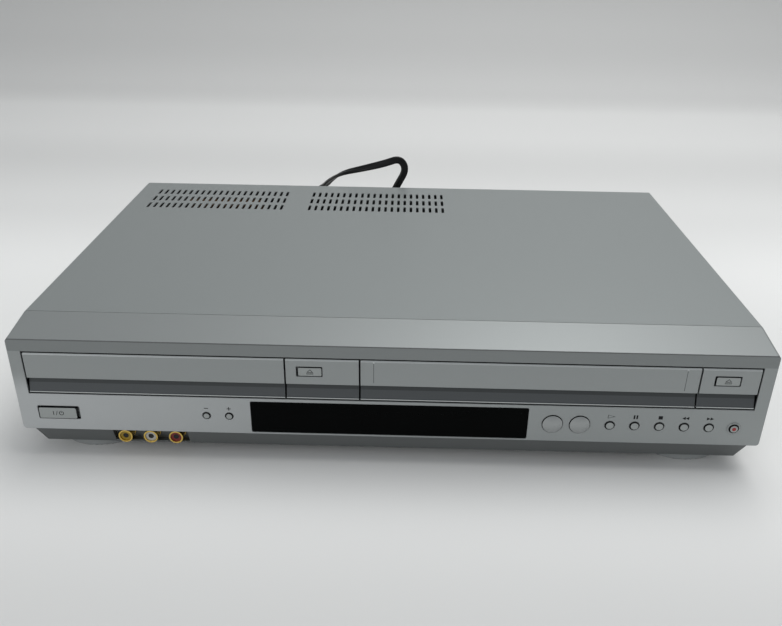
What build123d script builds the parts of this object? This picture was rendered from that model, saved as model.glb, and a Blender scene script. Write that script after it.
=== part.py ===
from build123d import *
import math
import os

os.makedirs("parts", exist_ok=True)

# A shelf-wide player with a disc tray on the left and a cassette bay on the right.
# Millimetres. +X is to the right of someone who faces the front, +Y is to the back, +Z is up.
# The floor is z = 0. "Depth" is the distance behind the flat front face.

# ---------------------------------------------------------------- the media it takes
DISC_DIAMETER = 120.0
CASSETTE_WIDTH = 187.0
CASSETTE_HEIGHT = 25.0

# ---------------------------------------------------------------- the front, from the floor up
FOOT_HEIGHT = 8.6
STRIP_HEIGHT = 11.1
LOWER_HEIGHT = 24.0
BAY_HEADROOM = 2.8
BROW_HEIGHT = 7.8
TOP_RISE = 4.2

# ---------------------------------------------------------------- the front, from left to right
DISC_MARGIN = 8.0
TRAY_FRONT_LIP = 5.65
DISC_PANEL_WIDTH = 41.3
DOOR_MARGIN = 1.45
TAPE_PANEL_WIDTH = 32.5
PANEL_GAP = 1.0
END_GAP = 0.8
CHEEK_WIDTH = 7.2

# ---------------------------------------------------------------- depths and walls
CASE_DEPTH = 275.0
BEZEL_DEPTH = 27.0
SOCKET_STANDOUT = 8.0
DOME_PROUD = 1.6
MOULDED_WALL = 2.4
SHEET = 1.2
COVER_SHEET = 0.8
SEAT_GAP = 0.3
RUNNING_GAP = 0.06
BEND_RADIUS = 1.8

tray_width = DISC_DIAMETER + 2 * DISC_MARGIN
tray_front_width = tray_width + 2 * TRAY_FRONT_LIP
door_width = CASSETTE_WIDTH + 2 * DOOR_MARGIN
recess_width = (2 * END_GAP + tray_front_width + DISC_PANEL_WIDTH + door_width
                + TAPE_PANEL_WIDTH + 3 * PANEL_GAP)
half_width = recess_width / 2 + CHEEK_WIDTH

strip_low = FOOT_HEIGHT
floor_top = strip_low + SHEET
face_low = strip_low + STRIP_HEIGHT
recess_low = face_low + LOWER_HEIGHT
recess_high = recess_low + CASSETTE_HEIGHT + BAY_HEADROOM
brow_high = recess_high + BROW_HEIGHT
case_high = brow_high + TOP_RISE
lid_under = case_high - COVER_SHEET

FRONT = (DOME_PROUD - CASE_DEPTH - SOCKET_STANDOUT) / 2

recess_left = -recess_width / 2
recess_right = recess_width / 2
tray_front_left = recess_left + END_GAP
tray_mid = tray_front_left + tray_front_width / 2
disc_panel_left = tray_front_left + tray_front_width + PANEL_GAP
disc_panel_right = disc_panel_left + DISC_PANEL_WIDTH
door_left = disc_panel_right + PANEL_GAP
door_right = door_left + door_width
door_mid = (door_left + door_right) / 2
tape_panel_left = door_right + PANEL_GAP
tape_panel_right = tape_panel_left + TAPE_PANEL_WIDTH


# ---------------------------------------------------------------- shared ways of building
def face_plane(depth):
    """A plane across the player at that depth, seen from the front: its x is X and its y is Z."""
    return Plane(origin=(0, FRONT + depth, 0), x_dir=(1, 0, 0), z_dir=(0, -1, 0))


def block(left, right, near, far, low, high, mode=Mode.ADD):
    """A square-edged block between two X values, two depths and two heights."""
    with Locations(((left + right) / 2, FRONT + (near + far) / 2, (low + high) / 2)):
        Box(right - left, far - near, high - low, mode=mode)


def rod_in(x, z, radius, near, far, mode=Mode.ADD):
    """A round rod or hole that runs from one depth to another."""
    with BuildSketch(face_plane(near)) as circle:
        with Locations((x, z)):
            Circle(radius)
    extrude(circle.sketch, amount=near - far, mode=mode)


def rod_up(x, depth, radius, low, high, mode=Mode.ADD):
    """A round post or hole that runs from one height to another."""
    with BuildSketch(Plane.XY.offset(low)) as circle:
        with Locations((x, FRONT + depth)):
            Circle(radius)
    extrude(circle.sketch, amount=high - low, mode=mode)


def rod_across(left, right, depth, z, radius, mode=Mode.ADD):
    """A round pin or hole that runs from one X to another."""
    with BuildSketch(Plane.YZ.offset(left)) as circle:
        with Locations((FRONT + depth, z)):
            Circle(radius)
    extrude(circle.sketch, amount=right - left, mode=mode)


def tablet_in(x, z, width, height, corner, near, far, mode=Mode.ADD):
    """A block with rounded corners, seen from the front, that runs from one depth to another."""
    with BuildSketch(face_plane(near)) as outline:
        with Locations((x, z)):
            RectangleRounded(width, height, corner)
    extrude(outline.sketch, amount=near - far, mode=mode)


def side_slab(points, left, right, mode=Mode.ADD):
    """An outline of (depth, height) points, seen from the side, carried from one X to another."""
    with BuildSketch(Plane.YZ.offset(left)) as outline:
        with BuildLine():
            Polyline(*[(FRONT + depth, z) for depth, z in points], close=True)
        make_face()
    extrude(outline.sketch, amount=right - left, mode=mode)


# ---------------------------------------------------------------- bottom pan and feet
PAN_FLANGE = 20.0
COVER_SIDE_GAP = 0.3
REAR_PANEL_INSET = 1.1
POST_RADIUS = 3.0
POWER_BOARD_RISE = 5.2
MAIN_BOARD_RISE = 3.4
BOARD_THICKNESS = 1.6

pan_near = BEZEL_DEPTH + SEAT_GAP
rear_outer = CASE_DEPTH - REAR_PANEL_INSET
rear_inner = rear_outer - SHEET
pan_half = half_width - COVER_SHEET - COVER_SIDE_GAP
power_board_low = floor_top + POWER_BOARD_RISE
main_board_low = floor_top + MAIN_BOARD_RISE

POWER_BOARD_WIDTH = 110.0
POWER_BOARD_LENGTH = 70.0
MAIN_BOARD_WIDTH = 290.0
MAIN_BOARD_LENGTH = 44.0
BOARD_EDGE = 7.0
BOARD_TO_PANEL = 5.0

power_board_left = -pan_half + SHEET + 5 * SEAT_GAP
power_board_right = power_board_left + POWER_BOARD_WIDTH
board_far = rear_inner - BOARD_TO_PANEL
power_board_near = board_far - POWER_BOARD_LENGTH
main_board_right = pan_half - SHEET - 5 * SEAT_GAP
main_board_left = main_board_right - MAIN_BOARD_WIDTH
main_board_near = board_far - MAIN_BOARD_LENGTH


def board_corners(left, right, near, far):
    """Where the four posts under a board stand: (x, depth)."""
    columns = (left + BOARD_EDGE, right - BOARD_EDGE)
    rows = (near + BOARD_EDGE, far - BOARD_EDGE)
    return [(x, depth) for x in columns for depth in rows]


with BuildPart() as bottom_chassis:
    block(-pan_half, pan_half, pan_near, rear_inner, strip_low, floor_top)
    block(-pan_half, -pan_half + SHEET, pan_near, rear_inner, strip_low, strip_low + PAN_FLANGE)
    block(pan_half - SHEET, pan_half, pan_near, rear_inner, strip_low, strip_low + PAN_FLANGE)
    for post_x, post_depth in board_corners(
            power_board_left, power_board_right, power_board_near, board_far):
        rod_up(post_x, post_depth, POST_RADIUS, floor_top, power_board_low)
    for post_x, post_depth in board_corners(
            main_board_left, main_board_right, main_board_near, board_far):
        rod_up(post_x, post_depth, POST_RADIUS, floor_top, main_board_low)

FRONT_FOOT_RADIUS = 30.0
REAR_FOOT_RADIUS = 12.0
FRONT_FOOT_DEPTH = 41.0
REAR_FOOT_DEPTH = 240.0
FOOT_INSET = 35.5
FOOT_EDGE = 1.2

with BuildPart() as feet:
    for side in (-1, 1):
        foot_x = side * (half_width - FOOT_INSET)
        rod_up(foot_x, FRONT_FOOT_DEPTH, FRONT_FOOT_RADIUS, 0, strip_low)
        rod_up(foot_x, REAR_FOOT_DEPTH, REAR_FOOT_RADIUS, 0, strip_low)
    fillet(feet.edges().filter_by(GeomType.CIRCLE).group_by(Axis.Z)[0], FOOT_EDGE)

# ---------------------------------------------------------------- front moulding
FACE_SLOPE_START = 1.2
STRIP_SETBACK = 5.0
STRIP_INSET_TOP = 5.5
STRIP_INSET_LOW = 10.5
BEZEL_CORNER = 2.0
POCKET_DEPTH = 8.0
FRAME_WALL = 1.6
PANEL_THICKNESS = 4.8
TRAY_RISE = 8.6
TRAY_THICKNESS = 7.7
RACK_DROP = 5.3
TRAY_WINDOW_GAP = 2.0

DISPLAY_WIDTH = 160.5
DISPLAY_RISE = 0.9
DISPLAY_DROP = 1.9
DISPLAY_CORNER = 1.0
DISPLAY_FLANGE = 2.0
FLANGE_THICKNESS = 1.2

BUTTON_RISE = 11.7
BUTTON_FIT = 0.2
KEY_GAP = 0.6
DOME_GAP = 0.4
POWER_HOLE_WIDTH = 24.5
POWER_HOLE_HEIGHT = 9.0
POWER_FROM_END = 22.75
CHANNEL_HOLE_RADIUS = 2.5
CHANNEL_TO_DISPLAY = 12.55
CHANNEL_PITCH = 13.2
SELECT_HOLE_RADIUS = 6.1
SELECT_TO_PLAY = 17.3
SELECT_PITCH = 15.7
KEY_HOLE_RADIUS = 3.0
KEY_PITCH = 14.2
DISPLAY_TO_SELECT = 14.05
RECORD_RING_RADIUS = 3.8
RECORD_RING_HEIGHT = 0.5

JACK_PITCH = 15.0
JACK_MID_FROM_END = 73.9
JACK_RISE = 5.9
JACK_SHELL_RADIUS = 4.15
JACK_CLEARANCE = 0.2
POCKET_MARGIN_X = 3.0
POCKET_MARGIN_LOW = 0.4
POCKET_MARGIN_HIGH = 0.5
JACK_POCKET_DEPTH = 8.0

BOARD_DEPTH = 14.0
BOARD_POST_RADIUS = 2.5
BOARD_POST_DROP = 4.0

HINGE_DEPTH = 4.6
HINGE_RISE = 3.7
HINGE_PIN_RADIUS = 1.2
HINGE_PIN_LENGTH = 3.4
HINGE_BOSS_WIDTH = 3.0
HINGE_BOSS_HEIGHT = 6.4
EJECT_STEM_RADIUS = 2.0
EJECT_DROP = 9.4
DISC_EJECT_OFFSET = -7.0
TAPE_EJECT_OFFSET = -1.2

tray_low = recess_low + TRAY_RISE
tray_high = tray_low + TRAY_THICKNESS
tray_left = tray_mid - tray_width / 2
tray_right = tray_mid + tray_width / 2
hinge_z = recess_high + HINGE_RISE
hole_far = MOULDED_WALL + 1
button_z = face_low + BUTTON_RISE
power_x = -half_width + POWER_FROM_END
channel_up_x = -DISPLAY_WIDTH / 2 - CHANNEL_TO_DISPLAY
channel_down_x = channel_up_x - CHANNEL_PITCH
disc_select_x = DISPLAY_WIDTH / 2 + DISPLAY_TO_SELECT
tape_select_x = disc_select_x + SELECT_PITCH
key_x = [tape_select_x + SELECT_TO_PLAY + KEY_PITCH * place for place in range(5)]
record_x = key_x[-1] + KEY_PITCH
display_low = face_low + DISPLAY_RISE
display_high = recess_low - DISPLAY_DROP
display_mid_z = (display_low + display_high) / 2
display_height = display_high - display_low
jack_z = strip_low + JACK_RISE
jack_mid_x = -half_width + JACK_MID_FROM_END
jack_x = [jack_mid_x + JACK_PITCH * place for place in (-1, 0, 1)]
jack_pocket_half = JACK_PITCH + JACK_SHELL_RADIUS + POCKET_MARGIN_X
jack_pocket_low = jack_z - JACK_SHELL_RADIUS - POCKET_MARGIN_LOW
jack_pocket_high = jack_z + JACK_SHELL_RADIUS + POCKET_MARGIN_HIGH
disc_eject_x = (disc_panel_left + disc_panel_right) / 2 + DISC_EJECT_OFFSET
tape_eject_x = (tape_panel_left + tape_panel_right) / 2 + TAPE_EJECT_OFFSET
eject_z = recess_high - EJECT_DROP
post_z = recess_low - BOARD_POST_DROP
display_post_x = DISPLAY_WIDTH / 2 + DISPLAY_FLANGE + BOARD_POST_RADIUS + 2 * BUTTON_FIT
end_post_x = half_width - MOULDED_WALL - BOARD_POST_RADIUS - 2 * MOULDED_WALL


def strip_outline(inset):
    """The base strip seen from the front: a bar whose ends slant inwards towards the floor."""
    return [(-half_width + STRIP_INSET_TOP + inset, face_low + 2 * inset),
            (half_width - STRIP_INSET_TOP - inset, face_low + 2 * inset),
            (half_width - STRIP_INSET_LOW - inset, strip_low + inset),
            (-half_width + STRIP_INSET_LOW + inset, strip_low + inset)]


with BuildPart() as front_bezel:
    side_slab([(0, face_low), (0, brow_high), (BEZEL_DEPTH, case_high), (BEZEL_DEPTH, face_low)],
              -half_width, half_width)
    outer_ends = front_bezel.edges().filter_by(Axis.Y).group_by(Axis.Z)[0]
    fillet(outer_ends, BEZEL_CORNER)
    crest = front_bezel.faces().sort_by(Axis.Z)[-1]
    crest_ends = crest.edges().filter_by(lambda edge: abs(abs(edge.center().X) - half_width) < SEAT_GAP)
    fillet(crest_ends, BEND_RADIUS)
    inner_half = half_width - MOULDED_WALL
    side_slab([(MOULDED_WALL, face_low + MOULDED_WALL), (MOULDED_WALL, brow_high - MOULDED_WALL),
               (BEZEL_DEPTH, case_high - MOULDED_WALL), (BEZEL_DEPTH + 1, case_high - MOULDED_WALL),
               (BEZEL_DEPTH + 1, face_low + MOULDED_WALL)],
              -inner_half, inner_half, mode=Mode.SUBTRACT)
    # base strip: leans back towards the floor, hollow behind
    with BuildSketch(face_plane(0)) as strip_front:
        with BuildLine():
            Polyline(*strip_outline(0), close=True)
        make_face()
    with BuildPart(mode=Mode.PRIVATE) as strip:
        extrude(strip_front.sketch, amount=-BEZEL_DEPTH)
        side_slab([(-1, strip_low - 1), (STRIP_SETBACK, strip_low - 1), (STRIP_SETBACK, strip_low),
                   (FACE_SLOPE_START, face_low), (-1, face_low)],
                  -half_width, half_width, mode=Mode.SUBTRACT)
    add(strip.part)
    with BuildPart(mode=Mode.PRIVATE) as strip_hollow:
        with BuildSketch(face_plane(MOULDED_WALL)) as hollow_front:
            with BuildLine():
                Polyline(*strip_outline(MOULDED_WALL), close=True)
            make_face()
        extrude(hollow_front.sketch, amount=-BEZEL_DEPTH)
        side_slab([(-1, strip_low - 1), (STRIP_SETBACK + MOULDED_WALL, strip_low - 1),
                   (STRIP_SETBACK + MOULDED_WALL, strip_low),
                   (FACE_SLOPE_START + MOULDED_WALL, face_low),
                   (MOULDED_WALL, face_low + MOULDED_WALL), (-1, face_low + MOULDED_WALL)],
                  -half_width, half_width, mode=Mode.SUBTRACT)
    add(strip_hollow.part, mode=Mode.SUBTRACT)
    # the long recess for the tray front, the cassette door and the two eject panels
    block(recess_left - FRAME_WALL, disc_panel_right, MOULDED_WALL, POCKET_DEPTH + FRAME_WALL,
          recess_low - FRAME_WALL, recess_high + FRAME_WALL)
    block(tape_panel_left, recess_right + FRAME_WALL, MOULDED_WALL, POCKET_DEPTH + FRAME_WALL,
          recess_low - FRAME_WALL, recess_high + FRAME_WALL)
    block(disc_panel_right, tape_panel_left, MOULDED_WALL, POCKET_DEPTH + FRAME_WALL,
          recess_low - FRAME_WALL, recess_low)
    block(recess_left, recess_right, -1, POCKET_DEPTH, recess_low, recess_high, mode=Mode.SUBTRACT)
    # the tray's way out of the recess
    block(tray_left - TRAY_WINDOW_GAP, tray_right + TRAY_WINDOW_GAP, POCKET_DEPTH - 1,
          POCKET_DEPTH + FRAME_WALL + 1, tray_low - RACK_DROP - SEAT_GAP, tray_high + TRAY_WINDOW_GAP,
          mode=Mode.SUBTRACT)
    # hinge ears for the cassette door
    for boss_left in (disc_panel_right - HINGE_BOSS_WIDTH, tape_panel_left):
        block(boss_left, boss_left + HINGE_BOSS_WIDTH, MOULDED_WALL, POCKET_DEPTH,
              recess_high, recess_high + HINGE_BOSS_HEIGHT)
        rod_across(boss_left - 1, boss_left + HINGE_BOSS_WIDTH + 1, HINGE_DEPTH, hinge_z,
                   HINGE_PIN_RADIUS + RUNNING_GAP, mode=Mode.SUBTRACT)
    # posts that carry the front board
    for post_x in (-end_post_x, -display_post_x, display_post_x, end_post_x):
        rod_in(post_x, post_z, BOARD_POST_RADIUS, MOULDED_WALL, BOARD_DEPTH)
    # display opening
    tablet_in(0, display_mid_z, DISPLAY_WIDTH, display_height, DISPLAY_CORNER, -1, hole_far,
              mode=Mode.SUBTRACT)
    # button holes
    tablet_in(power_x, button_z - BUTTON_FIT, POWER_HOLE_WIDTH, POWER_HOLE_HEIGHT, DISPLAY_CORNER,
              -1, hole_far, mode=Mode.SUBTRACT)
    rod_in(record_x, button_z, RECORD_RING_RADIUS, -RECORD_RING_HEIGHT, MOULDED_WALL)
    for hole_x in (channel_down_x, channel_up_x):
        rod_in(hole_x, button_z, CHANNEL_HOLE_RADIUS, -1, hole_far, mode=Mode.SUBTRACT)
    for hole_x in (disc_select_x, tape_select_x):
        rod_in(hole_x, button_z, SELECT_HOLE_RADIUS, -1, hole_far, mode=Mode.SUBTRACT)
    for hole_x in [*key_x, record_x]:
        rod_in(hole_x, button_z, KEY_HOLE_RADIUS, -1, hole_far, mode=Mode.SUBTRACT)
    for hole_x in (disc_eject_x, tape_eject_x):
        rod_in(hole_x, eject_z, EJECT_STEM_RADIUS + 2 * BUTTON_FIT, POCKET_DEPTH - 1,
               POCKET_DEPTH + FRAME_WALL + 1, mode=Mode.SUBTRACT)
    # pocket for the three front jacks
    block(jack_mid_x - jack_pocket_half - FRAME_WALL, jack_mid_x + jack_pocket_half + FRAME_WALL,
          STRIP_SETBACK, JACK_POCKET_DEPTH + FRAME_WALL, strip_low, face_low + FRAME_WALL)
    block(jack_mid_x - jack_pocket_half, jack_mid_x + jack_pocket_half, -1, JACK_POCKET_DEPTH,
          jack_pocket_low, jack_pocket_high, mode=Mode.SUBTRACT)
    for hole_x in jack_x:
        rod_in(hole_x, jack_z, JACK_SHELL_RADIUS + JACK_CLEARANCE, JACK_POCKET_DEPTH - 1, BOARD_DEPTH + 1,
               mode=Mode.SUBTRACT)

# ---------------------------------------------------------------- top cover with its vents
VENT_COLUMNS = 22
VENT_ROWS = 3
VENT_PITCH = 5.03
VENT_ROW_PITCH = 16.7
VENT_LENGTH = 11.5
VENT_WIDTH = 2.1
VENT_FROM_BACK = 40.0
LEFT_VENT_FROM_END = 70.7
RIGHT_VENT_FROM_END = 198.5
REAR_LIP = 7.0
COVER_FROM_PAN = 1.4
SCREW_HOLE_RADIUS = 1.7
SCREW_FROM_END = 60.0
SCREW_DROP = 3.9

cover_near = BEZEL_DEPTH + SEAT_GAP
cover_low = strip_low + COVER_FROM_PAN
screw_z = case_high - SCREW_DROP
screw_x = [-half_width + SCREW_FROM_END, 0, half_width - SCREW_FROM_END]


def cover_arch(inset):
    """The cover seen from the front: two sides and a top with bent corners, open below."""
    with BuildSketch(face_plane(cover_near)) as arch:
        with BuildLine():
            Polyline((-half_width + inset, cover_low), (-half_width + inset, case_high - inset),
                     (half_width - inset, case_high - inset), (half_width - inset, cover_low),
                     close=True)
        make_face()
        fillet(arch.vertices().group_by(Axis.Y)[-1], BEND_RADIUS - inset)
    return arch.sketch


with BuildPart() as top_cover:
    extrude(cover_arch(0), amount=cover_near - CASE_DEPTH)
    extrude(cover_arch(COVER_SHEET), amount=cover_near - CASE_DEPTH, mode=Mode.SUBTRACT)
    block(-half_width + BEND_RADIUS, half_width - BEND_RADIUS, CASE_DEPTH - COVER_SHEET, CASE_DEPTH,
          case_high - REAR_LIP, lid_under)
    with BuildSketch(Plane.XY.offset(lid_under - 1)) as vents:
        for group_x in (-half_width + LEFT_VENT_FROM_END, -half_width + RIGHT_VENT_FROM_END):
            with Locations((group_x, FRONT + CASE_DEPTH - VENT_FROM_BACK)):
                with GridLocations(VENT_PITCH, VENT_ROW_PITCH, VENT_COLUMNS, VENT_ROWS):
                    SlotOverall(VENT_LENGTH, VENT_WIDTH, rotation=90)
    extrude(vents.sketch, amount=COVER_SHEET + 2, mode=Mode.SUBTRACT)
    for hole_x in screw_x:
        rod_in(hole_x, screw_z, SCREW_HOLE_RADIUS, CASE_DEPTH - 2 * COVER_SHEET, CASE_DEPTH + 1,
               mode=Mode.SUBTRACT)

# ---------------------------------------------------------------- rear panel and its sockets
PANEL_TOP_GAP = 0.3
REAR_JACK_PITCH = 15.5
REAR_JACK_ROWS = 2
REAR_JACK_COLUMNS = 5
REAR_JACK_LOW = 30.0
REAR_JACKS_X = 70.0
ANTENNA_RADIUS = 4.75
ANTENNA_X = 172.0
ANTENNA_PITCH = 20.0
ANTENNA_FLANGE_RADIUS = 6.5
SOCKET_HOLE_GAP = 0.2
JACK_FLANGE_RADIUS = 5.2
CORD_X = -140.0
CORD_Z = 30.0
GLAND_RADIUS = 6.0
GLAND_NECK_RADIUS = 4.6
GLAND_HEAD_THICKNESS = 3.0
GLAND_TAPER_LENGTH = 22.0

rear_jack_places = [(REAR_JACKS_X + REAR_JACK_PITCH * (column - (REAR_JACK_COLUMNS - 1) / 2),
                     REAR_JACK_LOW + REAR_JACK_PITCH * row)
                    for column in range(REAR_JACK_COLUMNS) for row in range(REAR_JACK_ROWS)]
antenna_places = [(ANTENNA_X, REAR_JACK_LOW), (ANTENNA_X, REAR_JACK_LOW + ANTENNA_PITCH)]

with BuildPart() as rear_panel:
    block(-pan_half, pan_half, rear_inner, rear_outer, strip_low, lid_under - PANEL_TOP_GAP)
    for hole_x, hole_z in rear_jack_places:
        rod_in(hole_x, hole_z, JACK_SHELL_RADIUS + SOCKET_HOLE_GAP, rear_inner - 1, rear_outer + 1,
               mode=Mode.SUBTRACT)
    for hole_x, hole_z in antenna_places:
        rod_in(hole_x, hole_z, ANTENNA_RADIUS + SOCKET_HOLE_GAP, rear_inner - 1, rear_outer + 1,
               mode=Mode.SUBTRACT)
    rod_in(CORD_X, CORD_Z, GLAND_NECK_RADIUS + SOCKET_HOLE_GAP, rear_inner - 1, rear_outer + 1,
           mode=Mode.SUBTRACT)
    for hole_x in screw_x:
        rod_in(hole_x, screw_z, SCREW_HOLE_RADIUS, rear_inner - 1, rear_outer + 1, mode=Mode.SUBTRACT)

JACK_BORE_RADIUS = 1.65
JACK_SHELL_WALL = 0.85
JACK_FLANGE_THICKNESS = 1.2
FRONT_JACK_TIP = 1.4
SOCKET_BODY_LENGTH = 5.0
SOCKET_BORE_LENGTH = 10.0

socket_tip = CASE_DEPTH + SOCKET_STANDOUT

with BuildPart() as rear_sockets:
    for socket_x, socket_z in rear_jack_places:
        rod_in(socket_x, socket_z, JACK_SHELL_RADIUS, rear_inner - SOCKET_BODY_LENGTH, socket_tip)
        rod_in(socket_x, socket_z, JACK_FLANGE_RADIUS, rear_outer, rear_outer + JACK_FLANGE_THICKNESS)
        rod_in(socket_x, socket_z, JACK_BORE_RADIUS, socket_tip - SOCKET_BORE_LENGTH, socket_tip + 1,
               mode=Mode.SUBTRACT)
    for socket_x, socket_z in antenna_places:
        rod_in(socket_x, socket_z, ANTENNA_RADIUS, rear_inner - SOCKET_BODY_LENGTH, socket_tip)
        with BuildSketch(face_plane(rear_outer)) as hexagon:
            with Locations((socket_x, socket_z)):
                RegularPolygon(ANTENNA_FLANGE_RADIUS, 6)
        extrude(hexagon.sketch, amount=-JACK_FLANGE_THICKNESS)
        rod_in(socket_x, socket_z, JACK_BORE_RADIUS, socket_tip - SOCKET_BORE_LENGTH, socket_tip + 1,
               mode=Mode.SUBTRACT)

SCREW_HEAD_RADIUS = 3.4
SCREW_HEAD_HEIGHT = 2.0
SCREW_SHANK_RADIUS = 1.5

with BuildPart() as cover_screws:
    for shank_x in screw_x:
        rod_in(shank_x, screw_z, SCREW_SHANK_RADIUS, rear_inner - 2 * SHEET, CASE_DEPTH)
        rod_in(shank_x, screw_z, SCREW_HEAD_RADIUS, CASE_DEPTH, CASE_DEPTH + SCREW_HEAD_HEIGHT)
    crowns = cover_screws.edges().filter_by(GeomType.CIRCLE).group_by(Axis.Y)[-1]
    fillet(crowns, SCREW_HEAD_HEIGHT / 2)

# ---------------------------------------------------------------- display
DISPLAY_SINK = 0.3
TUBE_WIDTH = 124.0
TUBE_HEIGHT = 15.0
TUBE_DEPTH = 7.0

with BuildPart() as display_window:
    tablet_in(0, display_mid_z, DISPLAY_WIDTH - 2 * BUTTON_FIT, display_height - 2 * BUTTON_FIT,
              DISPLAY_CORNER, DISPLAY_SINK, MOULDED_WALL + FLANGE_THICKNESS)
    block(-DISPLAY_WIDTH / 2 - DISPLAY_FLANGE, DISPLAY_WIDTH / 2 + DISPLAY_FLANGE,
          MOULDED_WALL, MOULDED_WALL + FLANGE_THICKNESS, face_low + MOULDED_WALL + SEAT_GAP,
          recess_low - FRAME_WALL - SEAT_GAP)

with BuildPart() as display_tube:
    tablet_in(0, display_mid_z, TUBE_WIDTH, TUBE_HEIGHT, DISPLAY_CORNER, BOARD_DEPTH - TUBE_DEPTH,
              BOARD_DEPTH)

# ---------------------------------------------------------------- board behind the front
SWITCH_HEIGHT = 4.0
SWITCH_SIZE = 6.0
BOARD_INSET = 6.0
BOARD_TAB_MARGIN = 6.0
BOARD_TAB_TOP = 3.5

board_far_face = BOARD_DEPTH + BOARD_THICKNESS
switch_face = BOARD_DEPTH - SWITCH_HEIGHT
board_half = half_width - STRIP_INSET_LOW - BOARD_INSET
board_top = recess_low - FRAME_WALL
button_places = [(power_x, button_z), (channel_down_x, button_z), (channel_up_x, button_z),
                 (disc_select_x, button_z), (tape_select_x, button_z)]
button_places += [(place, button_z) for place in [*key_x, record_x]]

with BuildPart() as front_board:
    block(-board_half, board_half, BOARD_DEPTH, board_far_face,
          strip_low + MOULDED_WALL + SEAT_GAP, board_top)
    block(record_x - SWITCH_SIZE / 2, record_x + SWITCH_SIZE / 2, BOARD_DEPTH, board_far_face,
          button_z - SWITCH_SIZE / 2, board_top)
    block(-end_post_x - BOARD_POST_RADIUS, end_post_x + BOARD_POST_RADIUS, BOARD_DEPTH, board_far_face,
          post_z - 2 * BOARD_POST_RADIUS, board_top)
    for tab_x in (disc_eject_x, tape_eject_x):
        block(tab_x - BOARD_TAB_MARGIN, tab_x + BOARD_TAB_MARGIN, BOARD_DEPTH, board_far_face,
              board_top, recess_high - BOARD_TAB_TOP)
    for switch_x, switch_z in [*button_places, (disc_eject_x, eject_z), (tape_eject_x, eject_z)]:
        block(switch_x - SWITCH_SIZE / 2, switch_x + SWITCH_SIZE / 2, switch_face, BOARD_DEPTH,
              switch_z - SWITCH_SIZE / 2, switch_z + SWITCH_SIZE / 2)

# ---------------------------------------------------------------- buttons
BUTTON_TRAVEL = 0.8
BUTTON_SLACK = 0.15
BUTTON_FLANGE = 1.1
STEM_RADIUS = 1.4
KEY_PROUD = 0.6
CAP_EDGE = 0.5
POWER_PROUD = 0.4
POWER_EDGE_SIDE = 2.5
POWER_EDGE_END = 1.6
DOME_RIM_PROUD = 0.5
EJECT_CAP_WIDTH = 13.2
EJECT_CAP_HEIGHT = 5.2
EJECT_CAP_CORNER = 0.6
EJECT_SINK = 0.5
EJECT_GAP_LEFT = 1.2
EJECT_GAP_RIGHT = 0.6
EJECT_GAP_TOP = 1.0
EJECT_GAP_LOW = 0.4

flange_near = MOULDED_WALL + BUTTON_FIT
flange_far = flange_near + FLANGE_THICKNESS
stem_far = switch_face - BUTTON_TRAVEL - BUTTON_SLACK

pieces = {}


def round_button(label, x, hole_radius, proud):
    """A round cap in its hole, with a collar behind the wall and a stem towards its switch."""
    with BuildPart() as button:
        rod_in(x, button_z, hole_radius - KEY_GAP, -proud, flange_far)
        fillet(button.edges().filter_by(GeomType.CIRCLE).group_by(Axis.Y)[0], CAP_EDGE)
        rod_in(x, button_z, hole_radius + BUTTON_FLANGE, flange_near, flange_far)
        rod_in(x, button_z, STEM_RADIUS, flange_far, stem_far)
    pieces[label] = button


def domed_button(label, x):
    """A wide round cap whose face is a shallow dome, turned about its own axis."""
    radius = SELECT_HOLE_RADIUS - DOME_GAP
    with BuildPart() as button:
        with BuildSketch(Plane.YZ.offset(x)) as half_section:
            with BuildLine():
                ThreePointArc((FRONT - DOME_PROUD, button_z),
                              (FRONT - DOME_RIM_PROUD - (DOME_PROUD - DOME_RIM_PROUD) * 3 / 4,
                               button_z + radius / 2),
                              (FRONT - DOME_RIM_PROUD, button_z + radius))
                Polyline((FRONT - DOME_RIM_PROUD, button_z + radius),
                         (FRONT + flange_near, button_z + radius),
                         (FRONT + flange_near, button_z + SELECT_HOLE_RADIUS + BUTTON_FLANGE),
                         (FRONT + flange_far, button_z + SELECT_HOLE_RADIUS + BUTTON_FLANGE),
                         (FRONT + flange_far, button_z + STEM_RADIUS),
                         (FRONT + stem_far, button_z + STEM_RADIUS),
                         (FRONT + stem_far, button_z), (FRONT - DOME_PROUD, button_z))
            make_face()
        revolve(half_section.sketch, axis=Axis((x, 0, button_z), (0, 1, 0)))
    pieces[label] = button


with BuildPart() as power_button:
    power_cap_width = POWER_HOLE_WIDTH - POWER_EDGE_SIDE
    power_cap_height = POWER_HOLE_HEIGHT - POWER_EDGE_END
    power_cap_x = power_x - POWER_EDGE_SIDE / 4
    power_cap_z = button_z - BUTTON_FIT - POWER_EDGE_END / 5
    tablet_in(power_cap_x, power_cap_z, power_cap_width, power_cap_height, DISPLAY_CORNER,
              -POWER_PROUD, flange_far)
    fillet(power_button.faces().sort_by(Axis.Y)[0].edges(), POWER_PROUD)
    block(power_x - POWER_HOLE_WIDTH / 2 - BUTTON_FLANGE, power_x + POWER_HOLE_WIDTH / 2 + BUTTON_FLANGE,
          flange_near, flange_far, button_z - POWER_HOLE_HEIGHT / 2 - BUTTON_FLANGE,
          button_z + POWER_HOLE_HEIGHT / 2 + BUTTON_FLANGE)
    rod_in(power_x, button_z, STEM_RADIUS, flange_far, stem_far)

round_button("channel_down_button", channel_down_x, CHANNEL_HOLE_RADIUS, KEY_PROUD)
round_button("channel_up_button", channel_up_x, CHANNEL_HOLE_RADIUS, KEY_PROUD)
domed_button("disc_select_button", disc_select_x)
domed_button("tape_select_button", tape_select_x)
for key_label, place in zip(("play", "pause", "stop", "rewind", "forward"), key_x):
    round_button(key_label + "_button", place, KEY_HOLE_RADIUS, KEY_PROUD)
round_button("record_button", record_x, KEY_HOLE_RADIUS, KEY_PROUD + RECORD_RING_HEIGHT)

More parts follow.
